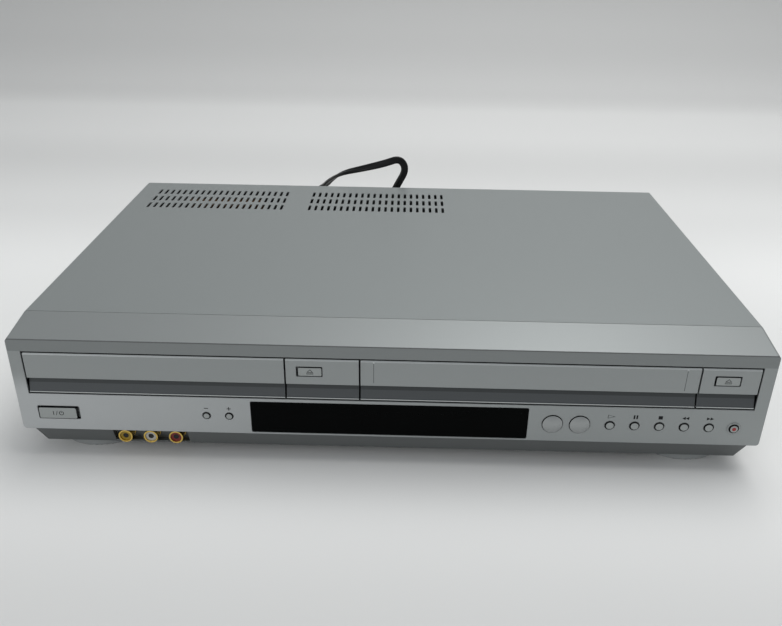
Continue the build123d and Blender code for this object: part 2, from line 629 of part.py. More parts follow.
# ---------------------------------------------------------------- the four long-recess panels
SILL_GAP = 1.0
HEAD_GAP = 0.9
FACE_SINK = 0.2
LIP_HEIGHT = 0.8
BAND_HEIGHT = 9.5
BAND_LOW_DEPTH = 0.5
BAND_TOP_DEPTH = 2.8
TOP_BEVEL = 1.0
EJECT_SHELL_WALL = 1.8

panel_low = recess_low + SILL_GAP
panel_high = recess_high - HEAD_GAP


def panel_outline(thickness):
    """A panel's section: a bottom lip, a band that leans back upwards, a flat face, a bevelled top."""
    return [(FACE_SINK, panel_low), (FACE_SINK, panel_low + LIP_HEIGHT),
            (BAND_LOW_DEPTH, panel_low + LIP_HEIGHT), (BAND_TOP_DEPTH, panel_low + BAND_HEIGHT),
            (FACE_SINK, panel_low + BAND_HEIGHT), (FACE_SINK, panel_high - TOP_BEVEL),
            (FACE_SINK + TOP_BEVEL, panel_high), (thickness, panel_high), (thickness, panel_low)]


def eject_panel(left, right, button_x):
    """A fixed panel, hollow behind, with a square-cornered hole for its button."""
    with BuildPart() as panel:
        side_slab(panel_outline(POCKET_DEPTH), left, right)
        block(left + EJECT_SHELL_WALL, right - EJECT_SHELL_WALL, BAND_TOP_DEPTH + EJECT_SHELL_WALL,
              POCKET_DEPTH + 1, panel_low + EJECT_SHELL_WALL, panel_high - EJECT_SHELL_WALL,
              mode=Mode.SUBTRACT)
        tablet_in(button_x + (EJECT_GAP_RIGHT - EJECT_GAP_LEFT) / 2,
                  eject_z + (EJECT_GAP_TOP - EJECT_GAP_LOW) / 2,
                  EJECT_CAP_WIDTH + EJECT_GAP_LEFT + EJECT_GAP_RIGHT,
                  EJECT_CAP_HEIGHT + EJECT_GAP_TOP + EJECT_GAP_LOW, EJECT_CAP_CORNER, -1,
                  POCKET_DEPTH - 1, mode=Mode.SUBTRACT)
    return panel


def eject_button(button_x):
    """A flat cap set a little into its panel, with a collar behind the panel's face and a stem."""
    collar_near = BAND_TOP_DEPTH + EJECT_SHELL_WALL + BUTTON_FIT
    with BuildPart() as button:
        tablet_in(button_x, eject_z, EJECT_CAP_WIDTH, EJECT_CAP_HEIGHT, EJECT_CAP_CORNER,
                  EJECT_SINK, collar_near + 1)
        block(button_x - EJECT_CAP_WIDTH / 2 - EJECT_GAP_LEFT - BUTTON_FLANGE,
              button_x + EJECT_CAP_WIDTH / 2 + EJECT_GAP_RIGHT + BUTTON_FLANGE,
              collar_near, collar_near + FLANGE_THICKNESS,
              eject_z - EJECT_CAP_HEIGHT / 2 - EJECT_GAP_LOW - BUTTON_FLANGE,
              eject_z + EJECT_CAP_HEIGHT / 2 + EJECT_GAP_TOP + BUTTON_FLANGE)
        rod_in(button_x, eject_z, EJECT_STEM_RADIUS, collar_near + FLANGE_THICKNESS, stem_far)
    return button


disc_eject_panel = eject_panel(disc_panel_left, disc_panel_right, disc_eject_x)
tape_eject_panel = eject_panel(tape_panel_left, tape_panel_right, tape_eject_x)
disc_eject_button = eject_button(disc_eject_x)
tape_eject_button = eject_button(tape_eject_x)

with BuildPart() as tray_front:
    side_slab(panel_outline(PANEL_THICKNESS), tray_front_left, tray_front_left + tray_front_width)

HINGE_EAR_WIDTH = 3.0
HINGE_EAR_RADIUS = 1.9
EAR_NEAR = 2.9

with BuildPart() as cassette_door:
    side_slab(panel_outline(PANEL_THICKNESS), door_left, door_right)
    for ear_left in (door_left, door_right - HINGE_EAR_WIDTH):
        block(ear_left, ear_left + HINGE_EAR_WIDTH, EAR_NEAR, PANEL_THICKNESS,
              panel_high - TOP_BEVEL, hinge_z)
        rod_across(ear_left, ear_left + HINGE_EAR_WIDTH, HINGE_DEPTH, hinge_z, HINGE_EAR_RADIUS)
    rod_across(door_left - HINGE_PIN_LENGTH, door_left + HINGE_EAR_WIDTH, HINGE_DEPTH, hinge_z,
               HINGE_PIN_RADIUS)
    rod_across(door_right - HINGE_EAR_WIDTH, door_right + HINGE_PIN_LENGTH, HINGE_DEPTH, hinge_z,
               HINGE_PIN_RADIUS)

# ---------------------------------------------------------------- front jacks
INSERT_SINK = 0.8
INSERT_FIT = 0.05
INSERT_LENGTH = 10.5
JACK_CONTACT_LENGTH = 8.0

with BuildPart() as front_jack_shells:
    for shell_x in jack_x:
        rod_in(shell_x, jack_z, JACK_SHELL_RADIUS, FRONT_JACK_TIP, BOARD_DEPTH)
        rod_in(shell_x, jack_z, JACK_SHELL_RADIUS + JACK_CLEARANCE, JACK_POCKET_DEPTH - JACK_FLANGE_THICKNESS,
               JACK_POCKET_DEPTH)
        rod_in(shell_x, jack_z, JACK_SHELL_RADIUS - JACK_SHELL_WALL, FRONT_JACK_TIP - 1,
               FRONT_JACK_TIP + INSERT_LENGTH, mode=Mode.SUBTRACT)

for insert_label, insert_x in zip(("video", "left_sound", "right_sound"), jack_x):
    with BuildPart() as jack_insert:
        rod_in(insert_x, jack_z, JACK_SHELL_RADIUS - JACK_SHELL_WALL - INSERT_FIT,
               FRONT_JACK_TIP + INSERT_SINK, FRONT_JACK_TIP + INSERT_LENGTH)
        rod_in(insert_x, jack_z, JACK_BORE_RADIUS, FRONT_JACK_TIP,
               FRONT_JACK_TIP + INSERT_SINK + JACK_CONTACT_LENGTH, mode=Mode.SUBTRACT)
    pieces[insert_label + "_jack_insert"] = jack_insert

# ---------------------------------------------------------------- disc loader: frame and tray
LOADER_SIDE_GAP = 2.0
LOADER_WALL = 2.5
LOADER_NEAR = 18.0
LOADER_FAR = 190.0
LOADER_PLATE_DROP = 22.3
LOADER_LEDGE = 4.5
LEDGE_THICKNESS = 2.0
LOADER_LEG_RADIUS = 4.0
LOADER_LEG_INSET = 9.0
LOADER_WALL_RISE = 12.0
TAB_REACH = 3.0
TAB_THICKNESS = 1.5
TAB_LENGTH = 20.0
TAB_GAP = 0.8

DISC_EDGE_DEPTH = 16.0
TRAY_FAR = 176.0
WELL_DEPTH = 2.5
SMALL_WELL_RADIUS = 41.0
SMALL_WELL_EXTRA = 1.2
DISC_GAP = 1.0
SLOT_HALF_WIDTH = 20.0
SLOT_LENGTH = 80.0

disc_depth = DISC_EDGE_DEPTH + DISC_DIAMETER / 2
loader_left = tray_left - LOADER_SIDE_GAP - LOADER_WALL
loader_right = tray_right + LOADER_SIDE_GAP + LOADER_WALL
loader_plate_low = tray_low - LOADER_PLATE_DROP
loader_plate_high = loader_plate_low + LOADER_WALL
loader_high = tray_high + LOADER_WALL_RISE

PINION_TEETH = 18
TOOTH_MODULE = 1.0
TOOTH_ADDENDUM = 0.8
TOOTH_DEDENDUM = 1.1
TOOTH_PLAY = 0.3
PRESSURE_ANGLE = 20.0
PINION_DEPTH = 30.0
RACK_FROM_EDGE = 9.0
RACK_RIB = 3.0
RACK_NEAR = 20.0
PINION_SHAFT_RADIUS = 2.0
PINION_HUB_RADIUS = 6.0
PINION_LOW_GAP = 0.5
PULLEY_GAP = 0.8
BIG_PULLEY_RADIUS = 14.0
SMALL_PULLEY_RADIUS = 4.0
PULLEY_HEIGHT = 4.0
BELT_THICKNESS = 1.2
PULLEY_SPACING = 32.0
PULLEY_GROOVE = 1.0

pinion_radius = PINION_TEETH * TOOTH_MODULE / 2
rack_x = tray_left + RACK_FROM_EDGE
pinion_x = rack_x + pinion_radius
gear_low = tray_low - RACK_DROP + PINION_LOW_GAP
gear_high = tray_low - PINION_LOW_GAP
pulley_low = loader_plate_high + PULLEY_GAP
pulley_high = pulley_low + PULLEY_HEIGHT
motor_x = pinion_x + PULLEY_SPACING

TRAVERSE_WIDTH = 60.0
TRAVERSE_NEAR = 54.0
TRAVERSE_FAR = 172.0
TRAVERSE_RISE = 3.5
TRAVERSE_PLATE = 2.0
GUIDE_RADIUS = 2.0
GUIDE_INSET = 5.0
GUIDE_TOP_GAP = 1.3
GUIDE_SEAT_RADIUS = 4.0
traverse_low = loader_plate_high + TRAVERSE_RISE
traverse_high = traverse_low + TRAVERSE_PLATE
traverse_left = tray_mid - TRAVERSE_WIDTH / 2
traverse_right = tray_mid + TRAVERSE_WIDTH / 2
guide_places = [(x, depth) for x in (traverse_left + GUIDE_INSET, traverse_right - GUIDE_INSET)
                for depth in (TRAVERSE_NEAR + GUIDE_INSET, TRAVERSE_FAR - GUIDE_INSET)]
MOTOR_WINDOW_RADIUS = 15.0
TRAY_MOTOR_RADIUS = 10.0
TRAY_MOTOR_LENGTH = 14.0
MOTOR_SHAFT_RADIUS = 1.0

with BuildPart() as loader_frame:
    block(loader_left, loader_right, LOADER_NEAR, LOADER_FAR, loader_plate_low, loader_plate_high)
    for wall_left in (loader_left, loader_right - LOADER_WALL):
        block(wall_left, wall_left + LOADER_WALL, LOADER_NEAR, LOADER_FAR, loader_plate_low, loader_high)
    for ledge_left, ledge_right in ((loader_left, loader_left + LOADER_WALL + LOADER_LEDGE),
                                    (loader_right - LOADER_WALL - LOADER_LEDGE, loader_right)):
        block(ledge_left, ledge_right, LOADER_NEAR, LOADER_FAR, tray_low - SEAT_GAP - LEDGE_THICKNESS,
              tray_low - SEAT_GAP)
    for tab_left, tab_right in ((loader_left, tray_left + TAB_REACH),
                                (tray_right - TAB_REACH, loader_right)):
        block(tab_left, tab_right, LOADER_NEAR, LOADER_NEAR + TAB_LENGTH, tray_high + TAB_GAP,
              tray_high + TAB_GAP + TAB_THICKNESS)
    for leg_x in (loader_left + LOADER_LEG_INSET, loader_right - LOADER_LEG_INSET):
        for leg_depth in (LOADER_NEAR + 2 * LOADER_LEG_INSET, LOADER_FAR - LOADER_LEG_INSET):
            rod_up(leg_x, leg_depth, LOADER_LEG_RADIUS, floor_top, loader_plate_low)
    for guide_x, guide_depth in guide_places:
        rod_up(guide_x, guide_depth, GUIDE_SEAT_RADIUS, loader_plate_high, traverse_low - SEAT_GAP)
        rod_up(guide_x, guide_depth, GUIDE_RADIUS, loader_plate_high, tray_low - GUIDE_TOP_GAP)
    rod_up(pinion_x, PINION_DEPTH, PINION_SHAFT_RADIUS, loader_plate_high, gear_high)
    rod_up(motor_x, PINION_DEPTH, 2 * MOTOR_SHAFT_RADIUS, loader_plate_low - 1, loader_plate_high + 1,
           mode=Mode.SUBTRACT)
    rod_up(tray_mid, disc_depth, MOTOR_WINDOW_RADIUS, loader_plate_low - 1, loader_plate_high + 1,
           mode=Mode.SUBTRACT)


def tooth_flank(teeth, reach):
    """Half the angle that a tooth fills at that distance from the wheel's centre, an involute."""
    pitch = teeth * TOOTH_MODULE / 2
    base = pitch * math.cos(math.radians(PRESSURE_ANGLE))
    at_pitch = math.pi / (2 * teeth) - TOOTH_PLAY / (4 * pitch)
    lean_pitch = math.tan(math.radians(PRESSURE_ANGLE)) - math.radians(PRESSURE_ANGLE)
    lean_angle = math.acos(min(1.0, base / reach))
    return at_pitch + lean_pitch - (math.tan(lean_angle) - lean_angle)


def wheel_outline(teeth):
    """The outline of a toothed wheel about its centre, with one tooth centred on -X."""
    pitch = teeth * TOOTH_MODULE / 2
    reaches = [pitch - TOOTH_DEDENDUM * TOOTH_MODULE, pitch, pitch + TOOTH_ADDENDUM * TOOTH_MODULE]
    outline = []
    for tooth in range(teeth):
        middle = math.pi + 2 * math.pi * tooth / teeth
        rising = [(reach, middle - tooth_flank(teeth, reach)) for reach in reaches]
        falling = [(reach, middle + tooth_flank(teeth, reach)) for reach in reversed(reaches)]
        outline += [(reach * math.cos(angle), reach * math.sin(angle)) for reach, angle in rising + falling]
    return outline


def rack_outline():
    """The toothed edge of the rack, (x, y), with a gap between teeth level with the pinion."""
    pitch = math.pi * TOOTH_MODULE
    half_tooth = pitch / 4 - TOOTH_PLAY / 4
    lean = math.tan(math.radians(PRESSURE_ANGLE))
    tip = rack_x + TOOTH_ADDENDUM * TOOTH_MODULE
    root = rack_x - TOOTH_DEDENDUM * TOOTH_MODULE
    first = math.ceil((RACK_NEAR - PINION_DEPTH) / pitch - 0.5)
    last = math.floor((TRAY_FAR - PINION_DEPTH) / pitch - 1.5)
    points = []
    for tooth in range(first, last + 1):
        middle = FRONT + PINION_DEPTH + (tooth + 0.5) * pitch
        root_half = half_tooth + TOOTH_DEDENDUM * TOOTH_MODULE * lean
        tip_half = half_tooth - TOOTH_ADDENDUM * TOOTH_MODULE * lean
        points += [(root, middle - root_half), (tip, middle - tip_half),
                   (tip, middle + tip_half), (root, middle + root_half)]
    back = root - RACK_RIB
    return [(back, points[0][1]), *points, (back, points[-1][1])]


with BuildPart() as disc_tray:
    block(tray_left, tray_right, PANEL_THICKNESS, TRAY_FAR, tray_low, tray_high)
    fillet(disc_tray.edges().filter_by(Axis.Z).group_by(Axis.Y)[-1], DISC_MARGIN)
    rod_up(tray_mid, disc_depth, DISC_DIAMETER / 2 + DISC_GAP, tray_high - WELL_DEPTH, tray_high + 1,
           mode=Mode.SUBTRACT)
    rod_up(tray_mid, disc_depth, SMALL_WELL_RADIUS, tray_high - WELL_DEPTH - SMALL_WELL_EXTRA,
           tray_high + 1, mode=Mode.SUBTRACT)
    rod_up(tray_mid, disc_depth, SLOT_HALF_WIDTH, tray_low - 1, tray_high + 1, mode=Mode.SUBTRACT)
    block(tray_mid - SLOT_HALF_WIDTH, tray_mid + SLOT_HALF_WIDTH, disc_depth, disc_depth + SLOT_LENGTH,
          tray_low - 1, tray_high + 1, mode=Mode.SUBTRACT)
    with BuildSketch(Plane.XY.offset(tray_low - RACK_DROP)) as rack_section:
        with BuildLine():
            Polyline(*rack_outline(), close=True)
        make_face()
    extrude(rack_section.sketch, amount=RACK_DROP)

with BuildPart() as tray_pinion:
    with BuildSketch(Plane.XY.offset(gear_low)) as wheel_section:
        with Locations((pinion_x, FRONT + PINION_DEPTH)):
            Polygon(*wheel_outline(PINION_TEETH), align=None)
    extrude(wheel_section.sketch, amount=gear_high - gear_low)
    rod_up(pinion_x, PINION_DEPTH, PINION_HUB_RADIUS, loader_plate_high + SEAT_GAP, gear_low)
    rod_up(pinion_x, PINION_DEPTH, BIG_PULLEY_RADIUS, pulley_low, pulley_high)
    with BuildSketch(Plane.XY.offset((pulley_low + pulley_high - 2 * BELT_THICKNESS) / 2)) as groove:
        with Locations((pinion_x, FRONT + PINION_DEPTH)):
            Circle(BIG_PULLEY_RADIUS + 1)
            Circle(BIG_PULLEY_RADIUS - PULLEY_GROOVE, mode=Mode.SUBTRACT)
    extrude(groove.sketch, amount=2 * BELT_THICKNESS, mode=Mode.SUBTRACT)
    rod_up(pinion_x, PINION_DEPTH, PINION_SHAFT_RADIUS + RUNNING_GAP, loader_plate_high, gear_high + 1,
           mode=Mode.SUBTRACT)

with BuildPart() as tray_motor:
    rod_up(motor_x, PINION_DEPTH, TRAY_MOTOR_RADIUS, loader_plate_low - TRAY_MOTOR_LENGTH, loader_plate_low)
    rod_up(motor_x, PINION_DEPTH, MOTOR_SHAFT_RADIUS, loader_plate_low, pulley_high)

with BuildPart() as motor_pulley:
    rod_up(motor_x, PINION_DEPTH, SMALL_PULLEY_RADIUS, pulley_low, pulley_high)
    with BuildSketch(Plane.XY.offset((pulley_low + pulley_high - 2 * BELT_THICKNESS) / 2)) as groove:
        with Locations((motor_x, FRONT + PINION_DEPTH)):
            Circle(SMALL_PULLEY_RADIUS + 1)
            Circle(SMALL_PULLEY_RADIUS - PULLEY_GROOVE, mode=Mode.SUBTRACT)
    extrude(groove.sketch, amount=2 * BELT_THICKNESS, mode=Mode.SUBTRACT)
    rod_up(motor_x, PINION_DEPTH, MOTOR_SHAFT_RADIUS + RUNNING_GAP, pulley_low - 1, pulley_high + 1,
           mode=Mode.SUBTRACT)


def belt_loop(extra):
    """The belt's outline around both pulleys: two arcs joined by the two outer tangents."""
    big = BIG_PULLEY_RADIUS - PULLEY_GROOVE + BUTTON_FIT + extra
    small = SMALL_PULLEY_RADIUS - PULLEY_GROOVE + BUTTON_FIT + extra
    lean = math.asin((big - small) / PULLEY_SPACING)
    rise = (math.cos(lean), math.sin(lean))
    y = FRONT + PINION_DEPTH
    with BuildSketch(Plane.XY.offset((pulley_low + pulley_high - BELT_THICKNESS) / 2)) as loop:
        with BuildLine():
            Line((pinion_x + big * rise[1], y + big * rise[0]),
                 (motor_x + small * rise[1], y + small * rise[0]))
            ThreePointArc((motor_x + small * rise[1], y + small * rise[0]), (motor_x + small, y),
                          (motor_x + small * rise[1], y - small * rise[0]))
            Line((motor_x + small * rise[1], y - small * rise[0]),
                 (pinion_x + big * rise[1], y - big * rise[0]))
            ThreePointArc((pinion_x + big * rise[1], y - big * rise[0]), (pinion_x - big, y),
                          (pinion_x + big * rise[1], y + big * rise[0]))
        make_face()
    return loop.sketch


with BuildPart() as tray_belt:
    extrude(belt_loop(BELT_THICKNESS), amount=BELT_THICKNESS)
    extrude(belt_loop(0), amount=BELT_THICKNESS, mode=Mode.SUBTRACT)

CLAMP_SHEET = 1.2
CLAMP_WIDTH = 24.0
CLAMP_HOLE_RADIUS = 9.0
PUCK_NECK_RADIUS = 8.0
PUCK_FLANGE_RADIUS = 12.0
PUCK_FLANGE_THICKNESS = 1.2
PUCK_RADIUS = 14.5
PUCK_RISE = 4.0
PUCK_THICKNESS = 4.0

with BuildPart() as clamp_bridge:
    block(loader_left, loader_right, disc_depth - CLAMP_WIDTH / 2, disc_depth + CLAMP_WIDTH / 2,
          loader_high, loader_high + CLAMP_SHEET)
    rod_up(tray_mid, disc_depth, CLAMP_HOLE_RADIUS, loader_high - 1, loader_high + CLAMP_SHEET + 1,
           mode=Mode.SUBTRACT)

with BuildPart() as clamp_puck:
    puck_low = tray_high + PUCK_RISE
    rod_up(tray_mid, disc_depth, PUCK_RADIUS, puck_low, puck_low + PUCK_THICKNESS)
    rod_up(tray_mid, disc_depth, PUCK_NECK_RADIUS, puck_low + PUCK_THICKNESS,
           loader_high + CLAMP_SHEET + RUNNING_GAP)
    rod_up(tray_mid, disc_depth, PUCK_FLANGE_RADIUS, loader_high + CLAMP_SHEET + RUNNING_GAP,
           loader_high + CLAMP_SHEET + RUNNING_GAP + PUCK_FLANGE_THICKNESS)

# ---------------------------------------------------------------- disc reader that lifts to the disc
ROD_RADIUS = 1.5
ROD_SPACING = 36.0
ROD_NEAR = 86.0
ROD_FAR = 165.0
ROD_RISE = 2.3
ROD_BLOCK = 4.0
SLED_NEAR = 91.0
SLED_LENGTH = 26.0
SLED_HALF_WIDTH = 21.5
SLED_TOP_HALF_WIDTH = 15.0
SLED_TOP_RISE = 7.6
LENS_RADIUS = 4.0
LENS_HEIGHT = 1.0
SPINDLE_MOTOR_RADIUS = 12.5
SPINDLE_MOTOR_LENGTH = 4.5
PLATTER_RADIUS = 15.0
PLATTER_THICKNESS = 2.5
PLATTER_DROP = 3.8
PLATTER_BOSS_RADIUS = 5.0
HUB_RADIUS = 7.4
HUB_TIP_RADIUS = 6.0
HUB_GAP = 0.8

rod_z = traverse_high + ROD_RISE
platter_high = tray_low - PLATTER_DROP
platter_low = platter_high - PLATTER_THICKNESS

with BuildPart() as traverse_frame:
    block(traverse_left, traverse_right, TRAVERSE_NEAR, TRAVERSE_FAR, traverse_low, traverse_high)
    fillet(traverse_frame.edges().filter_by(Axis.Z), ROD_BLOCK)
    for guide_x, guide_depth in guide_places:
        rod_up(guide_x, guide_depth, GUIDE_RADIUS + RUNNING_GAP, traverse_low - 1, traverse_high + 1,
               mode=Mode.SUBTRACT)
    rod_up(tray_mid, disc_depth, MOTOR_SHAFT_RADIUS + BUTTON_FIT, traverse_low - 1, traverse_high + 1,
           mode=Mode.SUBTRACT)
    for side in (-1, 1):
        block_x = tray_mid + side * ROD_SPACING / 2
        for block_near in (ROD_NEAR, ROD_FAR - ROD_BLOCK):
            block(block_x - ROD_BLOCK / 2, block_x + ROD_BLOCK / 2, block_near, block_near + ROD_BLOCK,
                  traverse_high, rod_z + ROD_BLOCK / 2)
            rod_in(block_x, rod_z, ROD_RADIUS, block_near - 1, block_near + ROD_BLOCK + 1, mode=Mode.SUBTRACT)

with BuildPart() as sled_rods:
    for side in (-1, 1):
        rod_in(tray_mid + side * ROD_SPACING / 2, rod_z, ROD_RADIUS, ROD_NEAR, ROD_FAR)

with BuildPart() as pickup_sled:
    block(tray_mid - SLED_HALF_WIDTH, tray_mid + SLED_HALF_WIDTH, SLED_NEAR, SLED_NEAR + SLED_LENGTH,
          traverse_high + SEAT_GAP, rod_z + ROD_RADIUS + SEAT_GAP)
    block(tray_mid - SLED_TOP_HALF_WIDTH, tray_mid + SLED_TOP_HALF_WIDTH, SLED_NEAR, SLED_NEAR + SLED_LENGTH,
          traverse_high + SEAT_GAP, traverse_high + SLED_TOP_RISE)
    rod_up(tray_mid, SLED_NEAR + SLED_LENGTH / 3, LENS_RADIUS, traverse_high + SLED_TOP_RISE,
           traverse_high + SLED_TOP_RISE + LENS_HEIGHT)
    for side in (-1, 1):
        rod_in(tray_mid + side * ROD_SPACING / 2, rod_z, ROD_RADIUS + RUNNING_GAP, SLED_NEAR - 1,
               SLED_NEAR + SLED_LENGTH + 1, mode=Mode.SUBTRACT)

with BuildPart() as spindle_motor:
    rod_up(tray_mid, disc_depth, SPINDLE_MOTOR_RADIUS, traverse_low - SPINDLE_MOTOR_LENGTH, traverse_low)
    rod_up(tray_mid, disc_depth, MOTOR_SHAFT_RADIUS, traverse_low, platter_high)

with BuildPart() as turntable:
    rod_up(tray_mid, disc_depth, PLATTER_BOSS_RADIUS, traverse_high + SEAT_GAP, platter_low)
    rod_up(tray_mid, disc_depth, PLATTER_RADIUS, platter_low, platter_high)
    with BuildSketch(Plane.XY.offset(platter_high)) as hub_base:
        with Locations((tray_mid, FRONT + disc_depth)):
            Circle(HUB_RADIUS)
    with BuildSketch(Plane.XY.offset(tray_low - HUB_GAP)) as hub_top:
        with Locations((tray_mid, FRONT + disc_depth)):
            Circle(HUB_TIP_RADIUS)
    loft([hub_base.sketch.face(), hub_top.sketch.face()])
    rod_up(tray_mid, disc_depth, MOTOR_SHAFT_RADIUS + RUNNING_GAP, traverse_high, platter_high + RUNNING_GAP,
           mode=Mode.SUBTRACT)

# ---------------------------------------------------------------- tape deck
DECK_RISE = 6.2
DECK_NEAR = 17.0
DECK_FAR = 218.0
HOLDER_NEAR = 21.6
HOLDER_LENGTH = 54.4
CARRIAGE_TRAVEL = 62.0
CARRIAGE_DROP = 22.0
CASSETTE_SIDE_GAP = 3.0
HOLDER_SHEET = 1.0
HOLDER_LIFT = 1.5
HOLDER_LEDGE = 8.0
HOLDER_TOP_RISE = 5.0
SLIDER_SHEET = 1.0
SLIDER_TOP_GAP = 0.7
SLIDER_FROM_TOP = 44.2
SLIDER_MARGIN = 4.0
BRIDGE_WIDTH = 26.0
PIN_RADIUS = 1.5
PIN_PLAY = 0.3
SLIDER_PIN_DROP = 7.8
SLIDER_PIN_INSET = 6.0
BRACKET_SHEET = 1.2
BRACKET_LEG = 5.0

deck_low = floor_top + DECK_RISE
deck_high = deck_low + SHEET
cassette_low = recess_low + HOLDER_LIFT
holder_half = CASSETTE_WIDTH / 2 + CASSETTE_SIDE_GAP
holder_top = recess_high + HOLDER_TOP_RISE
slider_half = holder_half + HOLDER_SHEET + SEAT_GAP
bracket_half = slider_half + SLIDER_SHEET + SEAT_GAP
slider_low_under = holder_top + HOLDER_SHEET + SLIDER_TOP_GAP
slider_high = slider_low_under + SLIDER_SHEET
slider_low = slider_high - SLIDER_FROM_TOP
slider_near = HOLDER_NEAR + SLIDER_MARGIN
slider_far = HOLDER_NEAR + HOLDER_LENGTH - SLIDER_MARGIN
slider_pin_z = slider_high - SLIDER_PIN_DROP
holder_pin_z = cassette_low + CASSETTE_HEIGHT * 3 / 5
holder_pin_depth = HOLDER_NEAR + HOLDER_LENGTH / 2
slider_pin_depths = (slider_near + SLIDER_PIN_INSET, slider_far - SLIDER_PIN_INSET)
loaded_far = HOLDER_NEAR + HOLDER_LENGTH + CARRIAGE_TRAVEL

REEL_SPACING = 97.0
REEL_FROM_FLAP = 55.0
REEL_RADIUS = 22.0
REEL_THICKNESS = 4.7
REEL_HUB_RADIUS = 9.0
REEL_HUB_RISE = 17.0
REEL_PIN_RADIUS = 2.0
DRUM_FROM_FLAP = 44.0
DRUM_RADIUS = 31.0
DRUM_TILT = 6.0
LOWER_DRUM_HEIGHT = 15.0
UPPER_DRUM_HEIGHT = 14.0
DRUM_SPLIT = 0.4
DRUM_RISE = 6.0
DRUM_BASE_RADIUS = 20.0
DRUM_SHAFT_RADIUS = 4.0
DRUM_CAP_RADIUS = 12.0
DRUM_CAP_HEIGHT = 3.0
CAPSTAN_OFFSET = 38.0
CAPSTAN_FROM_FLAP = 20.0
CAPSTAN_RADIUS = 2.0
CAPSTAN_RISE = 28.0
FLYWHEEL_RADIUS = 25.0
FLYWHEEL_GAP = 1.0
FLYWHEEL_THICKNESS = 4.0
ROLLER_RADIUS = 6.5
ROLLER_HEIGHT = 12.0
ROLLER_RISE = 10.0
ROLLER_PIN_RADIUS = 1.5
ROLLER_GAP = 0.5
DECK_LEG_RADIUS = 3.0
DECK_LEG_INSET = 8.0

reel_depth = loaded_far - REEL_FROM_FLAP
drum_depth = loaded_far + DRUM_FROM_FLAP
capstan_x = door_mid + CAPSTAN_OFFSET
capstan_depth = loaded_far + CAPSTAN_FROM_FLAP
roller_x = capstan_x + CAPSTAN_RADIUS + ROLLER_RADIUS + ROLLER_GAP

with BuildPart() as deck_frame:
    block(door_mid - bracket_half - BRACKET_SHEET, door_mid + bracket_half + BRACKET_SHEET, DECK_NEAR,
          DECK_FAR, deck_low, deck_high)
    for side in (-1, 1):
        inner = door_mid + side * bracket_half
        outer = inner + side * BRACKET_SHEET
        block(min(inner, outer), max(inner, outer), DECK_NEAR, loaded_far + BRACKET_LEG,
              deck_low, slider_high)
        # the long slot that the slider's pins run in
        block(min(inner, outer) - 1, max(inner, outer) + 1, slider_pin_depths[0] - PIN_RADIUS - PIN_PLAY,
              slider_pin_depths[1] + CARRIAGE_TRAVEL + PIN_RADIUS + PIN_PLAY,
              slider_pin_z - PIN_RADIUS - PIN_PLAY, slider_pin_z + PIN_RADIUS + PIN_PLAY, mode=Mode.SUBTRACT)
        leg_x = door_mid + side * (bracket_half - DECK_LEG_INSET)
        for leg_depth in (DECK_NEAR + 2 * DECK_LEG_INSET, DECK_FAR - DECK_LEG_INSET):
            rod_up(leg_x, leg_depth, DECK_LEG_RADIUS, floor_top, deck_low)
        rod_up(door_mid + side * REEL_SPACING / 2, reel_depth, REEL_PIN_RADIUS, deck_high,
               deck_high + REEL_HUB_RISE)
    rod_up(roller_x, capstan_depth, ROLLER_PIN_RADIUS, deck_high,
           deck_high + ROLLER_RISE + ROLLER_HEIGHT + SEAT_GAP)
    rod_up(roller_x, capstan_depth, 2 * ROLLER_PIN_RADIUS, deck_high, deck_high + ROLLER_RISE - SEAT_GAP)
    rod_up(capstan_x, capstan_depth, 2 * CAPSTAN_RADIUS, deck_high, deck_high + ROLLER_RISE)
    rod_up(capstan_x, capstan_depth, CAPSTAN_RADIUS + RUNNING_GAP, deck_low - 1, deck_high + ROLLER_RISE + 1,
           mode=Mode.SUBTRACT)

with BuildPart() as carriage_slider:
    for side in (-1, 1):
        inner = door_mid + side * slider_half
        outer = inner + side * SLIDER_SHEET
        block(min(inner, outer), max(inner, outer), slider_near, slider_far, slider_low, slider_high)
        # the upright slot that lets the holder sink onto the reels
        block(min(inner, outer) - 1, max(inner, outer) + 1, holder_pin_depth - PIN_RADIUS - PIN_PLAY,
              holder_pin_depth + PIN_RADIUS + PIN_PLAY, holder_pin_z - CARRIAGE_DROP - PIN_RADIUS - PIN_PLAY,
              holder_pin_z + PIN_RADIUS + PIN_PLAY, mode=Mode.SUBTRACT)
        for pin_depth in slider_pin_depths:
            pin_end = door_mid + side * (bracket_half + BRACKET_SHEET + SEAT_GAP)
            rod_across(min(outer, pin_end), max(outer, pin_end), pin_depth, slider_pin_z, PIN_RADIUS)
    block(door_mid - slider_half - SLIDER_SHEET, door_mid + slider_half + SLIDER_SHEET,
          holder_pin_depth - BRIDGE_WIDTH / 2, holder_pin_depth + BRIDGE_WIDTH / 2,
          slider_low_under, slider_high)

with BuildPart() as cassette_holder:
    block(door_mid - holder_half - HOLDER_SHEET, door_mid + holder_half + HOLDER_SHEET, HOLDER_NEAR,
          HOLDER_NEAR + HOLDER_LENGTH, holder_top, holder_top + HOLDER_SHEET)
    for side in (-1, 1):
        inner = door_mid + side * holder_half
        outer = inner + side * HOLDER_SHEET
        ledge_end = inner - side * HOLDER_LEDGE
        block(min(inner, outer), max(inner, outer), HOLDER_NEAR, HOLDER_NEAR + HOLDER_LENGTH,
              cassette_low - HOLDER_SHEET, holder_top + HOLDER_SHEET)
        block(min(ledge_end, outer), max(ledge_end, outer), HOLDER_NEAR, HOLDER_NEAR + HOLDER_LENGTH,
              cassette_low - HOLDER_SHEET, cassette_low)
        pin_end = outer + side * (SLIDER_SHEET + SEAT_GAP)
        rod_across(min(outer, pin_end), max(outer, pin_end), holder_pin_depth, holder_pin_z, PIN_RADIUS)

